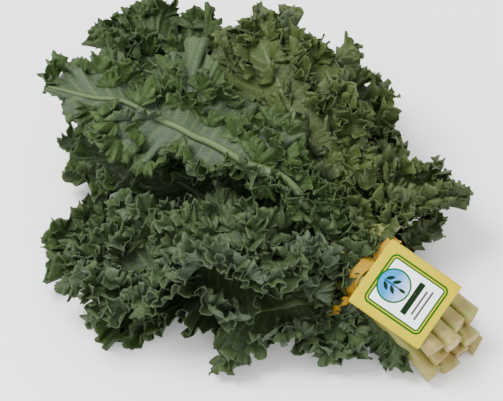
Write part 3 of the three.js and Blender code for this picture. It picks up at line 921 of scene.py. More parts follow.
@dataclass(frozen=True)
class TieFinish:
    """The twist tie: thin orange-yellow film, creased along its length, over a wire, with painted shade in its
    crinkles.
    """

    film: Colour = (0.50, 0.285, 0.002)
    # Painted shade: the film's colour at about half its brightness, laid on the crinkles.
    crease: Colour = (0.25, 0.115, 0.002)
    along_scale: float = 9.0
    across_scale: float = 7.0
    relief_depth: float = 0.0012

    def material(self) -> Material:
        """Builds the material, on the tie's UV map, which runs along and across it."""
        g = Graph("tie_film")
        along, across = g.chart()
        where = g.flat_place(along * self.along_scale, across * self.across_scale)
        crinkle_and_shade, folds = g.noise(where, 1.6, 4.0), g.noise(where, 5.0)
        # Painted shade: the crinkles are darkened towards the crease colour by the same noise that raises them.
        colour = g.mix(crinkle_and_shade.step(0.42, 0.66) * 0.8, self.film, self.crease)
        normal = g.bump(crinkle_and_shade * 0.7 + folds * 0.3, self.relief_depth, 0.8)
        return g.finish(g.skin(colour, 0.28 + folds * 0.3, Normal=normal))


@dataclass(frozen=True)
class CardFinish:
    """The card: yellow coated stock with a plain printed panel, a ringed disc and a sprig of leaves.

    The print's places and sizes are millimetres, along the card and across it, from its middle.
    """

    stock: Colour = (0.43, 0.345, 0.0)
    paper: Colour = (0.80, 0.82, 0.86)
    green: Colour = (0.004, 0.075, 0.005)
    dark: Colour = (0.004, 0.015, 0.003)
    sky: Colour = (0.010, 0.200, 0.480)
    grey: Colour = (0.06, 0.06, 0.06)
    back: Colour = (0.80, 0.78, 0.70)
    panel_at: float = 1.0
    panel_half: Pair = (24.0, 20.5)
    panel_corner: float = 5.0
    frame_lines: Pair = (1.5, 2.3)
    panel_inset: float = 3.6
    disc_at: float = -9.5
    disc_radius: float = 12.5
    disc_ring: float = 1.3
    fade: Pair = (-13.8, 3.0)
    sprig_half: Pair = (8.0, 0.45)
    sprig_leaves: Pair = (-5.0, 0.5)
    leaf_out: float = 3.2
    leaf_turn: float = 0.75
    leaf_size: float = 3.4
    tip_at: float = -2.6
    tip_size: float = 3.0
    bars: tuple[tuple[float, float, float], ...] = ((6.6, 2.3, 13.0), (12.2, 0.8, 10.0), (15.8, 0.8, 12.0))
    edge: float = 0.12

    def material(self) -> Material:
        """Builds the material, on the card's UV map, whose units are centimetres from its middle.

        The print is drawn from distances in millimetres on the card: a rounded panel is a box distance, a
        disc is a distance from its middle, and a leaf of the sprig is the overlap of two discs.

        Returns:
            The material.
        """
        g = Graph("tie_card_print")
        x, y = (way * 10.0 for way in g.chart())
        where = g.place()

        def panel(cx: float, half: Pair, corner: float) -> Signal:
            """The distance outside a rounded box, in millimetres; below 0 inside."""
            dx = ((x - cx).absolute() - (half[0] - corner)).most(0.0)
            dy = (y.absolute() - (half[1] - corner)).most(0.0)
            return (dx * dx + dy * dy).power(0.5) - corner

        def disc(cx: float, cy: float, radius: float) -> Signal:
            """The distance outside a circle, in millimetres."""
            dx, dy = x - cx, y - cy
            return (dx * dx + dy * dy).power(0.5) - radius

        def inside(distance: Signal) -> Signal:
            """1 inside a shape and 0 outside it, with a soft edge."""
            return distance.step(self.edge, -self.edge)

        def leaf(cx: float, cy: float, turn: float, size: float) -> Signal:
            """A pointed leaf about its middle, as two discs that overlap."""
            ox, oy = -math.sin(turn) * 1.15 * size, math.cos(turn) * 1.15 * size
            return disc(cx + ox, cy + oy, 1.55 * size).most(disc(cx - ox, cy - oy, 1.55 * size))

        border = panel(self.panel_at, self.panel_half, self.panel_corner)
        ring = disc(self.disc_at, 0.0, self.disc_radius)
        colour = g.mix(inside(border), self.stock, self.green)
        for inset, ink in zip((*self.frame_lines, self.panel_inset), (self.stock, self.green, self.paper)):
            colour = g.mix(inside(border + inset), colour, ink)
        sky = inside(ring + self.disc_ring)
        colour = g.mix(sky, g.mix(inside(ring), colour, self.green), self.sky)
        colour = g.mix(sky * x.step(*self.fade) * 0.45, colour, self.paper)
        sprig = panel(self.disc_at, self.sprig_half, 0.4)
        for along in self.sprig_leaves:
            for hand in (1, -1):
                one = leaf(self.disc_at + along, self.leaf_out * hand, self.leaf_turn * hand, self.leaf_size)
                sprig = sprig.least(one)
        sprig = sprig.least(leaf(self.tip_at, 0.0, 0.0, self.tip_size))
        colour = g.mix(inside(sprig), colour, self.dark)
        for (along, *half), ink in zip(self.bars, (self.dark, self.grey, self.grey)):
            colour = g.mix(inside(panel(along, half, 0.6)), colour, ink)
        wear = g.noise(where, 420.0, 3.0)
        colour = g.mix(g.mark("face"), self.back, colour)
        colour = g.mix(wear.step(0.66, 0.82) * 0.10, colour, self.paper)
        normal = g.bump(g.noise(where, 90.0), 0.0008, 0.35)
        return g.finish(g.skin(colour, 0.34 + wear * 0.14, Normal=normal, Specular_IOR_Level=0.06))


@dataclass(frozen=True)
class Frill:
    """One size of wave, in millimetres and as shares of the way out from the rib or the root.

    A wave swings to and fro along the sheet's normal, height * g * sin(phase), and leans over along the
    margin, height * lean * g^2 * sin(2 phase), so that its crests overhang. g is its growth.
    """

    pitch: float
    height: float
    starts: float
    full: float
    power: float
    lean: float
    wander: float

    def growth(self, out: Array) -> Array:
        """A smooth step to a power: 0 up to where the wave starts, and about 1 at the margin."""
        rise = smoothstep(out, self.starts, self.full) ** self.power
        return rise / smoothstep(np.ones(1), self.starts, self.full)

    def shift(self, phase: Array, growth: Array, normal: Array, beside: Array) -> Array:
        """How far the wave moves each point.

        Args:
            phase: the wave's phase at each point.
            growth: its growth there.
            normal: the direction in which it swings.
            beside: the direction in which its crests lean.
        Returns:
            One vector a point.
        """
        swing = self.height * growth * np.sin(phase)
        lean = self.height * self.lean * growth**2 * np.sin(2 * phase)
        return normal * swing[..., None] + beside * lean[..., None]


@dataclass(frozen=True)
class Notch:
    """Small lobes, scallops or teeth cut into a blade's margin: how far apart, how deep, how unevenly."""

    pitch: float
    depth: float
    wander: float

    def cut(self, run: Array, slow: Array) -> Array:
        """The depth along the margin: between pointed crests, the depth times 1 - |sin|^0.8."""
        return self.depth * (1 - np.abs(np.sin(math.pi * run / self.pitch + self.wander * slow)) ** 0.8)


@dataclass
class Blade:
    """The fine blade of one leaf."""

    leaf: Leaf
    others: Array
    seed: int
    row_pitch: float = 1.15
    least_rows: int = 60
    half_thickness: float = 0.24
    table_clearance: float = 0.3
    frills: tuple[Frill, ...] = (
        Frill(24.0, 7.6, 0.22, 1.25, 1.3, 0.36, 1.3),
        Frill(10.0, 3.8, 0.48, 1.25, 1.2, 0.42, 1.2),
        Frill(4.8, 1.4, 0.70, 1.25, 1.2, 0.34, 0.9),
    )
    half_columns: tuple[float, ...] = (0.0, 0.14, 0.30, 0.45, 0.58, 0.69, 0.78, 0.86, 0.92, 0.965, 1.0)
    lobe_pitch: float = 21.0
    lobe_depth: float = 4.2
    lobe_wander: float = 19.0
    notches: tuple[Notch, ...] = (Notch(8.6, 2.3, 1.3), Notch(3.4, 0.9, 2.0))
    lobe_swing: float = 1.6
    cut_from: float = 0.45
    cut_taper: Pair = (4.0, 16.0)
    vein_pitch: float = 17.0
    vein_bend: float = 2.2
    vein_width: float = 0.85
    vein_height: float = 0.55
    vein_drift: float = 40.0
    vein_ends: Pair = (0.55, 0.95)
    wave_room: Pair = (1.5, 10.0)
    least_wave: float = 0.22
    wander_pitches: float = 1.9
    strength_pitches: float = 2.6
    strength: Pair = (0.78, 0.34)
    slant: float = 1.4

    def rows(self) -> Array:
        """The shares of the blade at which it is drawn, so that the two margins together are cut evenly."""
        u = np.linspace(0, 1, 801)
        along = self.leaf.along_weights(u)
        length = sum(chord_lengths(along @ self.leaf.blade[:, hand.edge]) for hand in Hand) / 2
        fine = max(self.least_rows, int(length[-1] / self.row_pitch))
        return np.interp(np.linspace(0, length[-1], fine + 1), length, u)

    def sheet(self) -> tuple[Array, dict[str, Array]]:
        """The middle of the blade: the coarse grid drawn finely, cut into small lobes, then frilled.

        Returns:
            A grid of points in millimetres, and for each point how far out it is and how near a vein.
        """
        leaf = self.leaf
        rng = np.random.default_rng(self.seed)
        half = np.array(self.half_columns)
        across = np.concatenate([half[::-1], -half[1:]])
        left = across >= 0
        u = self.rows()
        weights = leaf.along_weights(u), leaf.across_weights(across)
        grid = np.einsum("ui,ijk,aj->uak", weights[0], leaf.blade, weights[1])
        room = np.linalg.norm(leaf.blade[:, :, None] - self.others, axis=3).min(2)
        room = np.einsum("ui,ij,aj->ua", weights[0], room, weights[1])
        out = np.abs(across)[None, :] * np.ones((len(u), 1))
        runs = [chord_lengths(grid[:, hand.edge]) for hand in Hand]
        along = np.where(left, runs[0][:, None], runs[1][:, None])

        # Small lobes: the outer part is drawn in between them.
        pulled = []
        for run in runs:
            slow = drift(rng, run, self.lobe_wander)
            lobes = 0.5 - 0.5 * np.sin(FULL_TURN * run / self.lobe_pitch + self.lobe_swing * slow)
            pulled.append(self.lobe_depth * lobes + sum(notch.cut(run, slow) for notch in self.notches))
        from_rib = grid - grid[:, len(half) - 1 : len(half)]
        draw = smoothstep(out, self.cut_from, 1.0) * np.where(left, pulled[0][:, None], pulled[1][:, None])
        draw = draw * smoothstep(np.linalg.norm(from_rib, axis=2), *self.cut_taper)
        grid = grid - unit(from_rib) * draw[..., None]

        # The side veins: ridges of the lower face, on lines that run out from the rib.
        bend = self.vein_bend * drift(rng, runs[0], self.vein_drift)
        line = (along + bend[:, None]) / self.vein_pitch + np.where(left, 0.0, 0.5)
        off = np.abs(line - np.round(line)) * self.vein_pitch * (0.25 + 0.75 * out)
        vein = bell(off / self.vein_width) * (1 - smoothstep(out, *self.vein_ends)) * smoothstep(out, 0.0, 0.05)

        limit = np.clip((room - self.wave_room[0]) / self.wave_room[1], self.least_wave, 1.0)
        for frill in self.frills:
            grid = self.frilled(grid, frill, along, across, limit, rng)
        return grid - sheet_normals(grid) * (self.vein_height * vein)[..., None], {"out": out, "vein": vein}

    def frilled(
        self,
        grid: Array,
        frill: Frill,
        along: Array,
        across: Array,
        limit: Array,
        rng: Rng,
    ) -> Array:
        """The sheet with one more size of wave, whose phase and strength drift along each margin.

        Args:
            grid: the points so far.
            frill: the wave.
            along: the way along the margin at each point.
            across: how far out each column is, with a sign for the hand.
            limit: the share of its height that a wave has room for.
            rng: the seeded source of its wandering.
        Returns:
            The new points.
        """
        runs = along[:, 0], along[:, -1]
        wander = np.stack([drift(rng, run, self.wander_pitches * frill.pitch) for run in runs], 1)
        strength = np.stack([drift(rng, run, self.strength_pitches * frill.pitch) for run in runs], 1)
        strength = self.strength[0] + self.strength[1] * strength
        wander = wander * frill.wander + rng.uniform(0, FULL_TURN, 2)
        left, out = across >= 0, np.abs(across)
        phase = FULL_TURN * along / frill.pitch + np.where(left, wander[:, :1], wander[:, 1:])
        phase = phase + self.slant * out * np.where(left, 1, -1)
        growth = frill.growth(out) * np.where(left, strength[:, :1], strength[:, 1:]) * limit
        return grid + frill.shift(phase, growth, sheet_normals(grid), -unit(np.gradient(grid, axis=0)))

    def build(self, finish: Material) -> bpy.types.Object:
        """Makes the blade and its lobes, each sheet as a closed shell.

        Args:
            finish: its material.
        Returns:
            The piece.
        """
        points, faces, marks = [], [], []
        for grid, grid_marks in (self.sheet(), Lobes(self.leaf, self.others, self.seed + 50).sheets()):
            grid[..., 2] = np.maximum(grid[..., 2], self.table_clearance)
            half = sheet_normals(grid) * self.half_thickness
            corners, quads, lower = closed_shells(grid + half, grid - half)
            faces.append(quads + sum(len(part) for part in points))
            points.append(corners)
            marks.append({name: np.tile(values.reshape(-1), 2) for name, values in grid_marks.items()})
            marks[-1]["under"] = lower
        points = kept_inside(np.concatenate(points) + SHIFT)
        marks = {name: np.concatenate([part[name] for part in marks]) for name in marks[0]}
        return mesh_piece(f"{self.leaf.plan.name}_blade", finish, points, faces, marks)


def sheet_normals(grid: Array) -> Array:
    """The directions square to one or more sheets, on their upper faces."""
    return unit(np.cross(np.gradient(grid, axis=-3), np.gradient(grid, axis=-2)))


@dataclass
class Lobes:
    """The small fan-shaped lobes that stand up from a leaf, each with its own frilled margin."""

    leaf: Leaf
    others: Array
    seed: int
    pitch: float = 15.0
    reach: Pair = (14.0, 23.0)
    tilt: Pair = (18.0, 62.0)
    stem_reach: Pair = (16.0, 24.0)
    stem_lobes: int = 16
    stem_places: Pair = (0.22, 2.2)
    stem_turn: Pair = (-10.0, 88.0)
    stem_tilt: Pair = (0.0, 40.0)
    stem_out: float = 2.5
    leaflet_places: Pair = (0.36, 0.98)
    leaflet_tilt: Pair = (-62.0, -20.0)
    leaflet_out: float = 4.0
    tiers: Pair = (0.36, 0.72)
    tier_starts: Pair = (0.4, 0.9)
    end_gap: float = 6.0
    shake: Pair = (4.0, 0.09)
    ends: Pair = (0.015, 0.985)
    bare: Pair = (0.36, 0.62)
    bare_tip: float = 0.80
    bare_step: float = 0.1
    overhang: float = 5.0
    probe: Pair = (0.015, 0.06)
    inner_tilt: Pair = (26.0, 0.7)
    cells: tuple[int, int] = (42, 5)
    rib_tier: float = 0.05
    rib_ends: Pair = (0.06, 0.97)
    rib_shake: float = 0.02
    rib_pitch: float = 17.0
    cover_reach: float = 22.0
    cover_height: float = 3.0
    cover_evenness: float = 0.30
    cover_count: int = 4
    head_room: float = 18.0
    clear: float = 4.0
    open_height: float = 60.0
    spread: Pair = (1.05, 1.65)
    bend: Pair = (-1.3, 1.5)
    lobe_pitch: float = 16.0
    lobe_depth: float = 0.15
    tooth_pitch: float = 11.0
    tooth_depth: float = 0.13
    frills: tuple[Frill, ...] = (
        Frill(20.0, 4.2, 0.05, 1.2, 1.0, 0.36, 0.9),
        Frill(8.4, 3.1, 0.34, 1.2, 1.0, 0.36, 0.9),
        Frill(4.4, 1.2, 0.60, 1.2, 1.0, 0.36, 0.9),
    )

    def spots(self, rng: Rng) -> tuple[Array, Array]:
        """Where the lobes grow: rows along each half at even steps of the margin, shaken a little.

        Args:
            rng: the seeded source of the shaking.
        Returns:
            How far along the blade, and how far across it, each lobe is.
        """
        plan = self.leaf.plan
        along, across = [], []
        for hand in Hand:
            run = chord_lengths(self.leaf.blade[:, hand.edge])
            for tier, out in enumerate(self.tiers):
                places = np.arange(self.pitch * self.tier_starts[tier], run[-1] - self.end_gap, self.pitch)
                places = places + shaken(rng, self.shake[0], len(places))
                shares = np.interp(places, run, self.leaf.shares).clip(*self.ends)
                outs = out + shaken(rng, self.shake[1], len(places))
                if plan.flipped:
                    # The lower face shows beside the rib on the near half, and at the tip.
                    near = hand is Hand.RIGHT
                    bare = (shares > self.bare[0]) & (shares < self.bare[1])
                    keep = (~bare | (tier == 1) | near) & ((shares < self.bare_tip) | ((tier == 1) & near))
                    outs = np.where(bare & near, outs - self.bare_step, outs)
                    shares, outs = shares[keep], outs[keep]
                along.append(shares)
                across.append(hand.value * outs)
        if plan.row >= 0:
            # The upper leaves have more of them beside the rib, on alternate hands.
            shares = np.arange(*self.rib_ends, self.rib_pitch / (plan.reach - SIZES.blade_start))
            shares = shares + shaken(rng, self.rib_shake, len(shares))
            hands = alternate(len(shares))
            if plan.flipped:
                keep = ((shares < self.bare[0]) | (shares > self.bare[1])) & (shares < self.bare_tip)
                shares, hands = shares[keep], hands[keep]
            along.append(shares)
            across.append(hands * self.rib_tier)
        return np.concatenate(along), np.concatenate(across)

    def on_blade(self, along: Array, across: Array) -> Array:
        """The blade's points at these shares along it and across it."""
        rows = self.leaf.along_weights(np.clip(along, 0, 1))
        columns = self.leaf.across_weights(np.clip(across, -1, 1))
        return np.einsum("fi,ijk,fj->fk", rows, self.leaf.blade, columns)

    def blade_roots(self, rng: Rng) -> dict[str, Array]:
        """The roots of the lobes on the blade, where one near the margin reaches only a little past it."""
        along, across = self.spots(rng)
        hand = np.sign(across)
        near, far = self.probe[0], self.probe[1] * hand
        at = self.on_blade(along, across)
        ahead = unit(self.on_blade(along + near, across) - self.on_blade(along - near, across))
        out = unit(self.on_blade(along, across + far) - self.on_blade(along, across - far))
        up = unit(np.cross(ahead, out)) * (hand if self.leaf.plan.flipped else -hand)[:, None]
        reach = rng.uniform(*self.reach, len(at)) * (0.75 + 0.25 * np.sin(math.pi * along) ** 0.5)
        steeper, within = self.inner_tilt
        tilt = np.radians(rng.uniform(*self.tilt, len(at)) + steeper * (within - np.abs(across)))
        left = np.linalg.norm(self.on_blade(along, hand) - at, axis=1) + self.overhang
        tilt = np.maximum(tilt, np.arccos(np.clip(left / reach, 0.25, 1.0)))
        return {"at": at, "ahead": ahead, "out": out, "up": up, "reach": reach, "tilt": tilt}

    def stem_roots(
        self, rng: Rng, places: Array, hands: Array, turn: Array, tilt: Pair
    ) -> dict[str, Array]:
        """The roots of lobes that grow straight out of the stem.

        Args:
            rng: the seeded source of their reach and tilt.
            places: where they grow, as shares of the leaf's line.
            hands: the side of the stem, 1 or -1.
            turn: how far each is turned from that side towards the top, in degrees.
            tilt: the least and the greatest tilt, in degrees.
        Returns:
            The roots, each at the middle of the stem.
        """
        at, ahead, up, side = self.leaf.line.frames(places, 0)
        side, turn = side * hands[:, None], np.radians(turn)[:, None]
        out, up = side * np.cos(turn) + up * np.sin(turn), up * np.cos(turn) - side * np.sin(turn)
        reach = rng.uniform(*self.stem_reach, len(places))
        tilt = np.radians(rng.uniform(*tilt, len(places)))
        return {"at": at, "ahead": ahead, "out": out, "up": up, "reach": reach, "tilt": tilt}

    def roots(self, rng: Rng) -> dict[str, Array]:
        """The root of each lobe: its place, the way ahead along the leaf, out from its rib, and up from it.

        Besides those on the blade, some grow round the stem between the tie and the blade, and leaflets grow
        on the outer side of a stem between the tie and its cut end. A lobe leans down where another leaf lies
        over it, and isn't grown where it is covered.

        Args:
            rng: the seeded source of every draw.
        Returns:
            Those four sets of vectors, each lobe's reach and its tilt.
        """
        leaf = self.leaf
        groups = [self.blade_roots(rng)]
        first, last = self.stem_places
        spacing = first + (last - first) * np.linspace(0, 1, self.stem_lobes) ** 1.4
        places = leaf.tied + (leaf.start - leaf.tied) * spacing
        turn = rng.uniform(*self.stem_turn, len(places))
        groups.append(self.stem_roots(rng, places, alternate(len(places)), turn, self.stem_tilt))
        groups[1]["at"] = groups[1]["at"] + groups[1]["out"] * self.stem_out
        places = leaf.tied * np.linspace(*self.leaflet_places, leaf.plan.leaflets)
        hands, turn = np.full(len(places), np.sign(leaf.plan.place)), np.zeros(len(places))
        groups.append(self.stem_roots(rng, places, hands, turn, self.leaflet_tilt))
        groups[2]["at"] = groups[2]["at"] + groups[2]["out"] * self.leaflet_out - groups[2]["up"]
        root = {name: np.concatenate([group[name] for group in groups]) for name in groups[0]}

        away = self.others[None] - root["at"][:, None]
        height = np.einsum("fqk,fk->fq", away, root["up"])
        beside = np.linalg.norm(away - height[..., None] * root["up"][:, None], axis=2)
        over = np.where((height > 1.0) & (beside < self.head_room), height, self.open_height).min(1)
        most = np.arcsin(np.clip((over - self.clear) / root["reach"], 0.0, 1.0))
        root["tilt"] = np.where(root["tilt"] > 0, np.minimum(root["tilt"], most), root["tilt"])
        root["reach"] = root["reach"] * (0.62 + 0.38 * np.clip(over / 20, 0, 1))
        grown = ~self.covered(away)
        return {name: values[grown] for name, values in root.items()}

    def covered(self, away: Array) -> Array:
        """Which lobes lie well inside the bunch, under other leaves on every side, and aren't grown.

        The directions towards the points that lie above and near are averaged: the mean is long where they
        are all on one side, as under the margin of another leaf, and short where they are all round.

        Args:
            away: from each lobe's root to each point of the other leaves.
        Returns:
            True for each covered lobe.
        """
        flat = away[..., :2]
        above = (away[..., 2] > self.cover_height) & (np.linalg.norm(flat, axis=2) < self.cover_reach)
        count = above.sum(1)
        mean = (unit(flat) * above[..., None]).sum(1) / np.maximum(count, 1)[:, None]
        return (count >= self.cover_count) & (np.linalg.norm(mean, axis=1) < self.cover_evenness)

    def sheets(self) -> tuple[Array, dict[str, Array]]:
        """All the lobes of the leaf.

        A lobe is a fan: rays that leave its root within a spread, bend out of its plane as they go, and are
        shorter between its own small lobes and teeth. The waves push the rays to and fro across the bent
        sheet, growing towards the margin, and lean their crests over.

        Returns:
            One grid of points for each lobe, and the marks of their points.
        """
        rng = np.random.default_rng(self.seed)
        root = self.roots(rng)
        count = len(root["at"])

        def draw(low: float = 0.0, high: float = 6.28) -> Array:
            """One value for each lobe, between two ends."""
            return rng.uniform(low, high, count)[:, None, None]

        v = np.linspace(-1, 1, self.cells[0] + 1)[None, :, None]
        r = np.linspace(0, 1, self.cells[1] + 1)[None, None, :] ** 0.78
        tilt, yaw = root["tilt"][:, None], rng.uniform(-0.5, 0.9, count)[:, None]
        flat = root["out"] * np.cos(yaw) + root["ahead"] * np.sin(yaw)
        axis = unit(flat * np.cos(tilt) + root["up"] * np.sin(tilt))
        wide = unit(root["ahead"] - axis * (root["ahead"] * axis).sum(1, keepdims=True))
        roll = rng.uniform(-0.6, 0.6, count)[:, None]
        wide = wide * np.cos(roll) + np.cross(axis, wide) * np.sin(roll)
        face = np.cross(wide, axis)
        upward = np.sign((face * root["up"]).sum(1, keepdims=True) + 1e-6)
        axis, wide, face = (w[:, None, None] for w in (axis, wide * upward, face * upward))
        reach = root["reach"][:, None, None]
        half_spread = draw(*self.spread)
        turn = v * half_spread
        run = math.pi * v * 2 * half_spread * reach
        lobed = 0.5 - 0.5 * np.cos(run / self.lobe_pitch + draw())
        teeth = 1 - np.abs(np.sin(run / self.tooth_pitch + draw()))
        long = reach * (1 - self.lobe_depth * lobed - self.tooth_depth * teeth) * (1 - 0.28 * np.abs(v) ** 4)
        long = long * (0.10 + 0.90 * r)
        bend = (draw(*self.bend) + 0.5 * np.sin(2.3 * v + draw())) * r**1.4
        ray = axis * np.cos(turn)[..., None] + wide * np.sin(turn)[..., None]
        beside = wide * np.cos(turn)[..., None] - axis * np.sin(turn)[..., None]
        outward = np.cos(bend)[..., None] * ray - np.sin(bend)[..., None] * face
        normal = np.cos(bend)[..., None] * face + np.sin(bend)[..., None] * ray
        steps = np.diff(long, axis=2, prepend=0)
        grid = root["at"][:, None, None] + np.cumsum(outward * steps[..., None], axis=2)
        for frill in self.frills:
            phase = run / frill.pitch + draw() + frill.wander * np.sin(2.1 * v + draw())
            phase = phase + 1.3 * r * np.sin(1.7 * v + draw())
            growth = frill.growth(r) * (0.75 + 0.35 * np.sin(3.1 * v + draw())) * reach / 18
            grid = grid + frill.shift(phase, growth, normal, beside)
        rays = np.abs(np.sin(2.5 * turn + draw(0, 3.14)))
        vein = 0.45 * bell(rays * long / 2.2) * (1 - smoothstep(r, 0.25, 0.7))
        return grid, {"out": (0.50 + 0.5 * r) * np.ones_like(long), "vein": vein}


def shaken(rng: Rng, most: float, count: int) -> Array:
    """Random values up to this much either way."""
    return rng.uniform(-most, most, count)


def alternate(count: int) -> Array:
    """1 and -1 in turn."""
    return np.where(np.arange(count) % 2 == 0, 1.0, -1.0)


@dataclass
class Stalk:
    """A leaf's stem and rib as one tube: round with a groove on top, sunk under the blade as a rib."""

    leaf: Leaf
    around: int = 16
    stem_rings: int = 40
    rib_rings: int = 60
    groove: float = 0.16
    groove_width: float = 0.5
    ridges: tuple[tuple[float, int], ...] = ((0.03, 5), (0.02, 9))
    flare: float = 0.9
    flare_reach: float = 0.03
    sunk: float = 0.5
    flattened: float = 0.12
    tip_length: float = 0.8
    cut_rings: tuple[Pair, ...] = ((0.45, -0.5), (0.75, 0.15), (0.93, 0.35))

    def radii(self, share: Array, u: Array) -> Array:
        """The radius of each ring: from the cut end to the tie, on to the rib, and along it to its tip."""
        s = SIZES
        past = share / self.leaf.tied
        stem = s.stem_end_radius + (s.stem_radius - s.stem_end_radius) * past
        neck = s.stem_radius + (s.rib_start_radius - s.stem_radius) * np.clip(past - 1, 0, 0.5) * 2
        return np.concatenate([np.where(past < 1, stem, neck), self.leaf.rib_radius(u)])

    def build(self, finish: Material) -> bpy.types.Object:
        """Makes the stalk.

        The distance from the middle is the radius times 1 less a bell-shaped groove, with shallow ridges,
        and the cut end is closed by rings that shrink to the pith.

        Args:
            finish: its material.
        Returns:
            The piece.
        """
        leaf, s = self.leaf, SIZES
        share = np.linspace(0, leaf.start, self.stem_rings, endpoint=False)
        u = np.linspace(0, 1, self.rib_rings)
        weights = leaf.along_weights(u)
        at, _, _, side = leaf.line.frames(share, leaf.plan.roll)
        across_rib = weights @ (leaf.blade[:, s.side_columns - 1] - leaf.blade[:, s.side_columns + 1])
        centre = np.concatenate([at, weights @ leaf.blade[:, s.side_columns]])
        side = np.concatenate([side, unit(across_rib)])
        along = unit(np.gradient(centre, axis=0))
        side = unit(side - along * (side * along).sum(1, keepdims=True))
        up = np.cross(side, along)
        radius = self.radii(share, u)
        bulge = np.concatenate([np.zeros(self.stem_rings), smoothstep(u, 0, 0.2)])
        reach = np.linspace(0, 1, len(centre))
        centre = centre - up * (self.sunk * bulge * radius)[:, None]
        turn = circle(self.around)
        (first, few), (second, many) = self.ridges
        rough = first * np.cos(few * turn + leaf.plan.phase) + second * np.cos(many * turn)
        hollow = self.groove * bell((turn - math.pi / 2) / self.groove_width)
        section = (radius + self.flare * bell(reach / self.flare_reach))[:, None] * (1 + rough - hollow)
        high = section * (1 - self.flattened * bulge)[:, None]
        rings = (
            centre[:, None]
            + side[:, None] * (section * np.cos(turn))[..., None]
            + up[:, None] * (high * np.sin(turn))[..., None]
        )
        rings[0] += along[0] * (s.cut_slant * radius[0] * np.cos(turn + leaf.plan.phase))[:, None]
        faces = [centre[0] + (rings[0] - centre[0]) * k - along[0] * inward for k, inward in self.cut_rings]
        rings = np.concatenate([np.array(faces), rings])
        # Painted shade of the leaves over the stem: from the tie to the blade the stalk ramps towards the rib's
        # dark green.
        painted_shade_past_tie = np.clip((share - leaf.tied) / (leaf.start - leaf.tied), 0, 1)
        cut = np.array([k for k, _ in self.cut_rings])
        marks = {
            "face": (np.concatenate([cut, np.zeros(len(centre))]), (0.06, 0.0)),
            "rib": (np.concatenate([np.zeros(len(cut)), 0.2 * painted_shade_past_tie, 0.2 + 0.8 * u]), (0.0, 1.0)),
            "end": (np.concatenate([np.ones(len(cut)), 1 - reach]), (1.0, 0.0)),
        }
        ends = [faces[0].mean(0), rings[-1].mean(0) + along[-1] * self.tip_length]
        chart = np.linspace(0, 1, len(rings)), turn / FULL_TURN, 0.0
        return tube_piece(f"{leaf.plan.name}_stalk", finish, rings, ends, chart, marks, clockwise=True)


@dataclass
class Tie:
    """The twist tie: a creased film band round the stems and two ends twisted together."""

    around: int = 210
    section: int = 32
    crease: float = 0.45
    end_rings: int = 90
    end_around: int = 24
    end_way: tuple[float, float, float] = (-0.25, -0.8, -0.55)
    wire_radius: float = 0.5
    film_half: float = 0.45

    def outline(self, away: float) -> tuple[Array, Array]:
        """The band's line round the four corner stems: arcs at their centres and straight runs between.

        Args:
            away: the line's distance from those centres.
        Returns:
            Points in Y and Z, evenly spaced, and the outward direction at each.
        """
        wide, high = SIZES.half_row, SIZES.row_rise
        corners = [(wide, high, 0), (-wide, high, 90), (-wide, -high, 180), (wide, -high, 270)]
        line, outs = [], []
        for y, z, start in corners:
            turn = np.radians(start + np.linspace(0, 90, 40))
            outs.append(np.stack([np.cos(turn), np.sin(turn)], -1))
            line.append(np.array([y, z]) + away * outs[-1])
        line, out = (np.concatenate([*parts, parts[0][:1]]) for parts in (line, outs))
        length = chord_lengths(line)
        even = np.linspace(0, length[-1], self.around, endpoint=False)
        line, out = (np.stack([np.interp(even, length, v[:, k]) for k in (0, 1)], -1) for v in (line, out))
        return line, unit(out)

    def band(self, finish: Material) -> bpy.types.Object:
        """The band: a flat closed section carried round the outline, creased lengthwise.

        The section is (half width * cos a, half thickness * sin a), pushed out by sines of the place across
        that wander with the way round.

        Args:
            finish: its material.
        Returns:
            The piece.
        """
        s = SIZES
        line, out = self.outline(s.band_inside + s.band_thickness / 2)
        way, a = circle(self.around)[:, None], circle(self.section)
        across = blunt(np.cos(a), 0.8)
        wander = 0.7 * np.sin(3 * way + 0.6) + 0.5 * np.sin(7 * way)
        folds = np.sin(9.5 * across + wander) + 0.6 * np.sin(21 * across - 2.2 * wander)
        push = blunt(np.sin(a), 0.6) * 0.3 + self.crease * folds * (1 - 0.3 * across**2) + 0.15
        half = s.band_width / 2 * (0.92 + 0.08 * np.sin(5 * way + 1.0))
        x = s.band_at + half * across + 0.35 * np.sin(2 * way)
        yz = line[:, None] + out[:, None] * push[..., None]
        points = np.stack([x, yz[..., 0], yz[..., 1] + s.tie_height], -1).reshape(-1, 3) + SHIFT
        chart = np.stack(np.broadcast_arrays(way * 4, across + 3), -1).reshape(-1, 2)
        quads = tube_quads(self.around, self.section, closed=True)
        return mesh_piece("tie_band_loop", finish, points, [quads], chart=chart)

    def twist(self, finish: Material) -> bpy.types.Object:
        """The two ends: a flat bar with a wire in its middle that turns about its own line as it goes out.

        Args:
            finish: its material.
        Returns:
            The piece.
        """
        s = SIZES
        root = np.array([s.band_at, -s.half_row - s.band_inside, s.tie_height])
        out = unit(np.array(self.end_way))
        wide = unit(np.array([1.0, 0, 0]) - out * out[0])
        flat = np.cross(out, wide)
        way, a = np.linspace(0, 1, self.end_rings), circle(self.end_around)
        turn = FULL_TURN * s.twist_turns * way[:, None]
        w = blunt(np.cos(a), 0.8) * s.twist_half_width
        f = np.sin(a) * (self.film_half + self.wire_radius * bell(w / 0.9))
        w, f = (v * (1 - 0.25 * bell((way - 0.5) / 0.2))[:, None] for v in (w, f))
        at = root + out * (s.twist_length * way)[:, None]
        rings = (
            at[:, None]
            + wide * (w * np.cos(turn) - f * np.sin(turn))[..., None]
            + flat * (w * np.sin(turn) + f * np.cos(turn))[..., None]
        )
        ends = [at[0] - out * 0.2, at[-1] + out * 0.2]
        return tube_piece("tie_band_ends", finish, rings, ends, (way * 3, np.cos(a) + 3, 3.0))


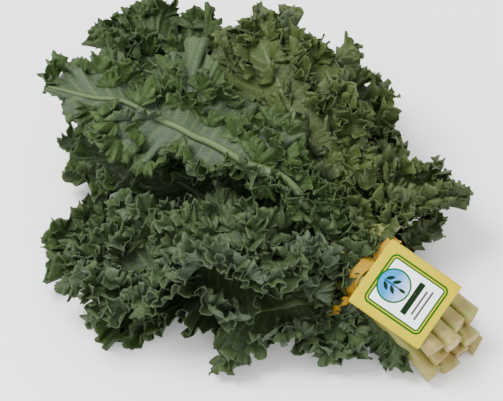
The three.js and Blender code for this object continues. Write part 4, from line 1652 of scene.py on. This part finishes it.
@dataclass
class Card:
    """The card on the tie: thin stock bowed across its width, with rounded corners."""

    along: int = 48
    across: int = 28
    thickness: float = 0.55
    raised: float = 0.7
    corner: float = 1.2
    bow: float = 0.4
    curl: float = 0.36
    clearance: float = 0.4

    def build(self, finish: Material) -> bpy.types.Object:
        """Makes the card.

        A point at x along and y across is at the height of an arc over the width, and each end of the width
        is drawn in where the corners are rounded.

        Args:
            finish: its material.
        Returns:
            The piece.
        """
        s = SIZES
        t = np.linspace(0, 1, self.along)
        x = s.card_length * (t - 0.8 * np.sin(FULL_TURN * t) / FULL_TURN)
        end = np.minimum(x, s.card_length - x)
        inset = self.corner - np.sqrt(np.maximum(self.corner**2 - np.maximum(self.corner - end, 0) ** 2, 0))
        y = (s.card_width / 2 - inset)[:, None] * np.linspace(-1, 1, self.across)
        x = np.broadcast_to(x[:, None], y.shape)
        arc = (s.card_width**2 / 4 + s.card_crown**2) / (2 * s.card_crown)
        z = np.sqrt(arc**2 - y**2) - arc + self.bow * np.sin(math.pi * t)[:, None]
        z = z - self.curl * smoothstep(t, 0.8, 1.0)[:, None] * (2 * y / s.card_width) ** 2
        top = np.stack([x, y, z + self.raised], -1)
        both, faces, lower = closed_shells(top, top - Z_UP * self.thickness)
        roll, slope = math.radians(s.card_roll), math.radians(s.card_slope)
        reach = s.half_row * math.sin(roll) + s.row_rise * math.cos(roll)
        height = reach + s.band_inside + s.band_thickness + s.card_crown + self.clearance
        px, py, pz = both.T
        py = py + s.card_shift
        px, pz = px * math.cos(slope) + pz * math.sin(slope), -px * math.sin(slope) + pz * math.cos(slope)
        px, pz = px + s.card_start, pz + height
        py, pz = py * math.cos(roll) - pz * math.sin(roll), py * math.sin(roll) + pz * math.cos(roll)
        points = np.stack([px, py, pz + s.tie_height], -1) + SHIFT
        chart = np.tile(np.stack([x - s.card_length / 2, y], -1).reshape(-1, 2) / 10, (2, 1))
        return mesh_piece("tie_card_stock", finish, points, [faces], {"face": 1 - lower}, chart)


@dataclass(frozen=True)
class Studio:
    """A plain pale floor, in millimetres, and soft lights and the camera, in metres."""

    azimuth: float = 40.0
    elevation: float = 50.0
    distance: float = 3.0
    sensor: float = 36.0
    picture: tuple[int, int] = (503, 401)
    pixel: float = 0.71 * MM
    tie_pixel: Pair = (370.0, 270.0)
    floor_half: float = 3000.0
    floor_drop: float = 0.2
    floor_grey: Colour = (0.96, 0.96, 0.96)
    sky: float = 1.70
    lamps: tuple[tuple[str, tuple[float, float, float], float, float], ...] = (
        ("key", (-0.5, -0.5, 1.6), 0.8, 46.0),
        ("fill", (1.2, -1.1, 0.9), 1.4, 12.0),
    )

    def floor(self) -> None:
        """A large pale floor a hair under the bunch."""
        g = Graph("floor")
        corners = np.array([[-1, -1], [1, -1], [1, 1], [-1, 1]]) * self.floor_half
        points = np.column_stack([corners, np.full(4, -self.floor_drop)])
        finish = g.finish(g.skin(self.floor_grey, 0.9))
        floor = mesh_piece("floor", finish, points, [np.array([[0, 1, 2, 3]])])

    @staticmethod
    def aimed(name: str, data: bpy.types.ID, place: Vector, back: Vector) -> bpy.types.Object:
        """A light or camera at a place, looking against the backward direction."""
        item = added(name, data)
        item.location = place
        item.rotation_mode = "QUATERNION"
        item.rotation_quaternion = back.to_track_quat("Z", "Y")
        return item

    def lights(self) -> None:
        """A bright even sky, one large soft light from the upper left of the picture, and a weaker one."""
        world = bpy.data.worlds.new("soft_sky")
        bpy.context.scene.world = world
        world.use_nodes = True
        background = world.node_tree.nodes["Background"]
        background.inputs["Color"].default_value = (1.0, 1.0, 1.0, 1.0)
        background.inputs["Strength"].default_value = self.sky
        for name, place, size, power in self.lamps:
            lamp = bpy.data.lights.new(name, "AREA")
            lamp.size, lamp.energy = size, power
            self.aimed(name, lamp, Vector(place), Vector(place))

    def camera(self, tie: Array) -> None:
        """A long lens at the picture's angle, framed so that the tie falls on its own pixel.

        Args:
            tie: the tie's middle.
        """
        a, e = math.radians(self.azimuth), math.radians(self.elevation)
        back = Vector((math.sin(a) * math.cos(e), -math.cos(a) * math.cos(e), math.sin(e)))
        turn = back.to_track_quat("Z", "Y")
        right, up = turn @ Vector((1, 0, 0)), turn @ Vector((0, 1, 0))
        centre = Vector(tie) + right * (self.picture[0] / 2 - self.tie_pixel[0]) * self.pixel
        centre += up * (self.tie_pixel[1] - self.picture[1] / 2) * self.pixel
        lens = bpy.data.cameras.new("camera")
        lens.sensor_width = self.sensor
        lens.lens = self.sensor * self.distance / (self.picture[0] * self.pixel)
        lens.clip_end = 20.0
        bpy.context.scene.camera = self.aimed("camera", lens, centre + back * self.distance, back)


def kept_inside(points: Array) -> Array:
    """Points in the frame's millimetres, eased back where they pass the part's box or its table.

    Args:
        points: places in the frame.
    Returns:
        The places, of which no more than a tenth of what lies past the margin is left.
    """
    low, high = np.array(CAD_BOX[0]) / MM - BOX_ROOM, np.array(CAD_BOX[1]) / MM + BOX_ROOM
    points = np.where(points > high, high + EASED_SHARE * (points - high), points)
    points = np.where(points < low, low + EASED_SHARE * (points - low), points)
    points[:, 2] = np.maximum(points[:, 2], BLADE_CLEARANCE)
    return points


def settle_in(piece: bpy.types.Object, node: str) -> None:
    """Puts a piece on the one body, hides the part of the node that it stands for and logs its faces."""
    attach(piece, "root")
    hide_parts(node)
    LOG.info("%s: %d faces for %s", piece.name, len(piece.data.polygons), node)


def main() -> None:
    """Builds the bunch in order: leaves, tie, card, then the room."""
    leaves = Foliage().grow()
    tones = {tone: LeafFinish(tone).material() for tone in Tone}
    stalk = StalkFinish().material()
    for k, leaf in enumerate(leaves):
        blade = Blade(leaf, points_beside(leaf, leaves, "blade"), 100 + k)
        settle_in(blade.build(tones[leaf.plan.tone]), leaf.plan.name)
        settle_in(Stalk(leaf).build(stalk), leaf.plan.name)
    film = TieFinish().material()
    settle_in(Tie().band(film), "tie_band")
    settle_in(Tie().twist(film), "tie_band")
    settle_in(Card().build(CardFinish().material()), "tie_card")
    studio = Studio()
    studio.floor()
    studio.lights()
    studio.camera((SHIFT + Z_UP * SIZES.tie_height) * MM)


if __name__ == "__main__":
    main()
